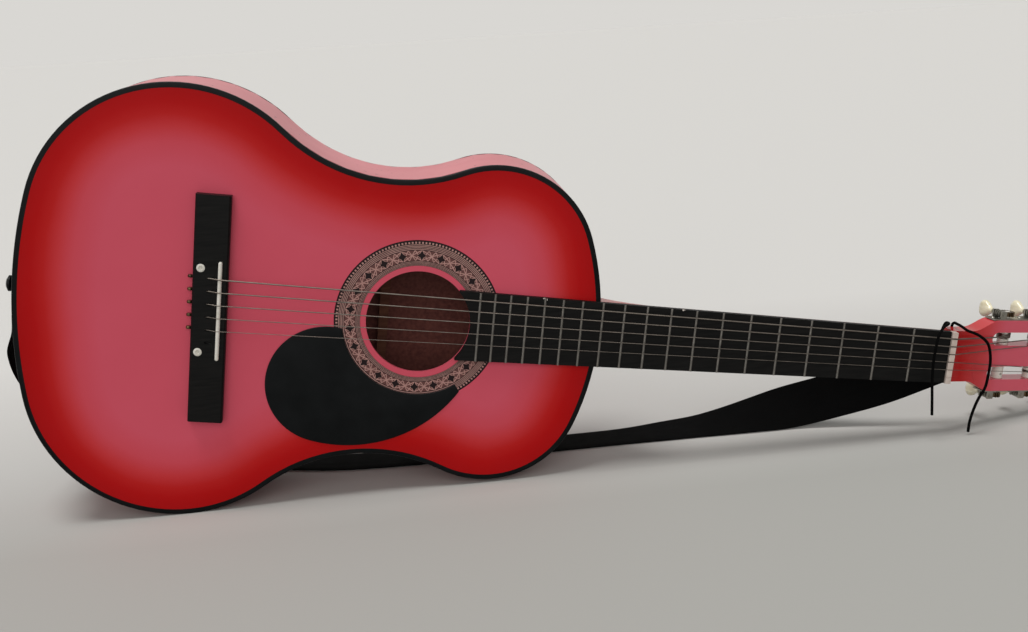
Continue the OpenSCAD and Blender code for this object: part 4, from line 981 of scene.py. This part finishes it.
for name, route in (("lace_board_end", lace_to_board), ("lace_head_end", lace_to_head)):
    line = smooth_route(route, LACE_STEPS)
    lace = cord_tube(name, line, LACE_DIAMETER / 2, LACE_SIDES)
    lay_along(lace, line, [2 * WEAVE_COLUMN * j / LACE_SIDES for j in range(LACE_SIDES)])
    stands_for(lace, strap_black, "webbing", "guitar", "lace")


# Studio: a wide matt floor painted pale, paler behind the guitar than in front of it, with soft light
# from the ceiling and from the front. The camera stands in front, a little above the guitar.
FLOOR_SIZE, FLOOR_FRONT, FLOOR_REAR, AMBIENT = 12.0, -0.1, 0.5, 0.36
floor_corners = [(x * FLOOR_SIZE, y * FLOOR_SIZE, 0) for x, y in ((-1, -1), (1, -1), (1, 1), (-1, 1))]
floor = piece("floor", floor_corners, [(0, 1, 2, 3)])
floor_paint, tree, main = shader("floor_paint", Roughness=0.7, Specular_IOR_Level=0.1)
rear = add(tree, "SeparateXYZ", Vector=add(tree, "TexCoord").outputs["Object"]).outputs["Y"]
rear = add(tree, "MapRange", Value=rear, From_Min=FLOOR_FRONT, From_Max=FLOOR_REAR).outputs["Result"]
tint = ramp(
    tree, rear, (0.0, screen(162, 161, 156)), (0.3, screen(180, 178, 174)), (1.0, screen(203, 201, 197)))
tree.links.new(tint, main.inputs["Base Color"])
floor.data.materials.append(floor_paint)

world = bpy.data.worlds.new("studio")
bpy.context.scene.world = world
world.use_nodes = True
tree = world.node_tree
rays = add(tree, "LightPath").outputs
seen = calc(tree, "MAXIMUM", rays["Is Camera Ray"], rays["Is Glossy Ray"])
seen = calc(tree, "MAXIMUM", seen, rays["Is Transmission Ray"])
sky = mixed(tree, seen, (AMBIENT, AMBIENT, AMBIENT, 1.0), screen(217, 215, 211))
tree.links.new(sky, tree.nodes["Background"].inputs["Color"])


def lamp(name, way, softness, power):
    """A far soft lamp whose light travels along way."""
    light = bpy.data.lights.new(name, "SUN")
    light.angle, light.energy = math.radians(softness), power
    made = bpy.data.objects.new(name, light)
    made.rotation_euler = Vector(way).to_track_quat("-Z", "Y").to_euler()
    bpy.context.scene.collection.objects.link(made)


lamp("ceiling_light", (0.2, 0.12, -1), 25, 2.1)
lamp("front_light", (0.15, 1, -0.35), 60, 1.3)

PHOTO_WIDTH, FOCAL_PIXELS, MIDDLE_SHIFT = 1028, 1309.6, 60
CAMERA_PLACE = (-0.0422, 0.2510, 1.0399)
CAMERA_FORWARD, CAMERA_DOWN = (0.15672, -0.2198, -0.96287), (0.0657, -0.97044, 0.23222)
camera = bpy.data.cameras.new("camera")
camera.lens = camera.sensor_width * FOCAL_PIXELS / PHOTO_WIDTH
camera.shift_x = -MIDDLE_SHIFT / PHOTO_WIDTH
forward = lean(CAMERA_FORWARD).normalized()
upward = -lean(CAMERA_DOWN)
upward = (upward - forward * upward.dot(forward)).normalized()
turned = Matrix((forward.cross(upward), upward, -forward)).transposed().to_4x4()
camera_object = bpy.data.objects.new("camera", camera)
camera_object.matrix_world = Matrix.Translation(at(*CAMERA_PLACE)) @ turned
bpy.context.scene.collection.objects.link(camera_object)
bpy.context.scene.camera = camera_object
bpy.context.scene.view_settings.view_transform = "Standard"
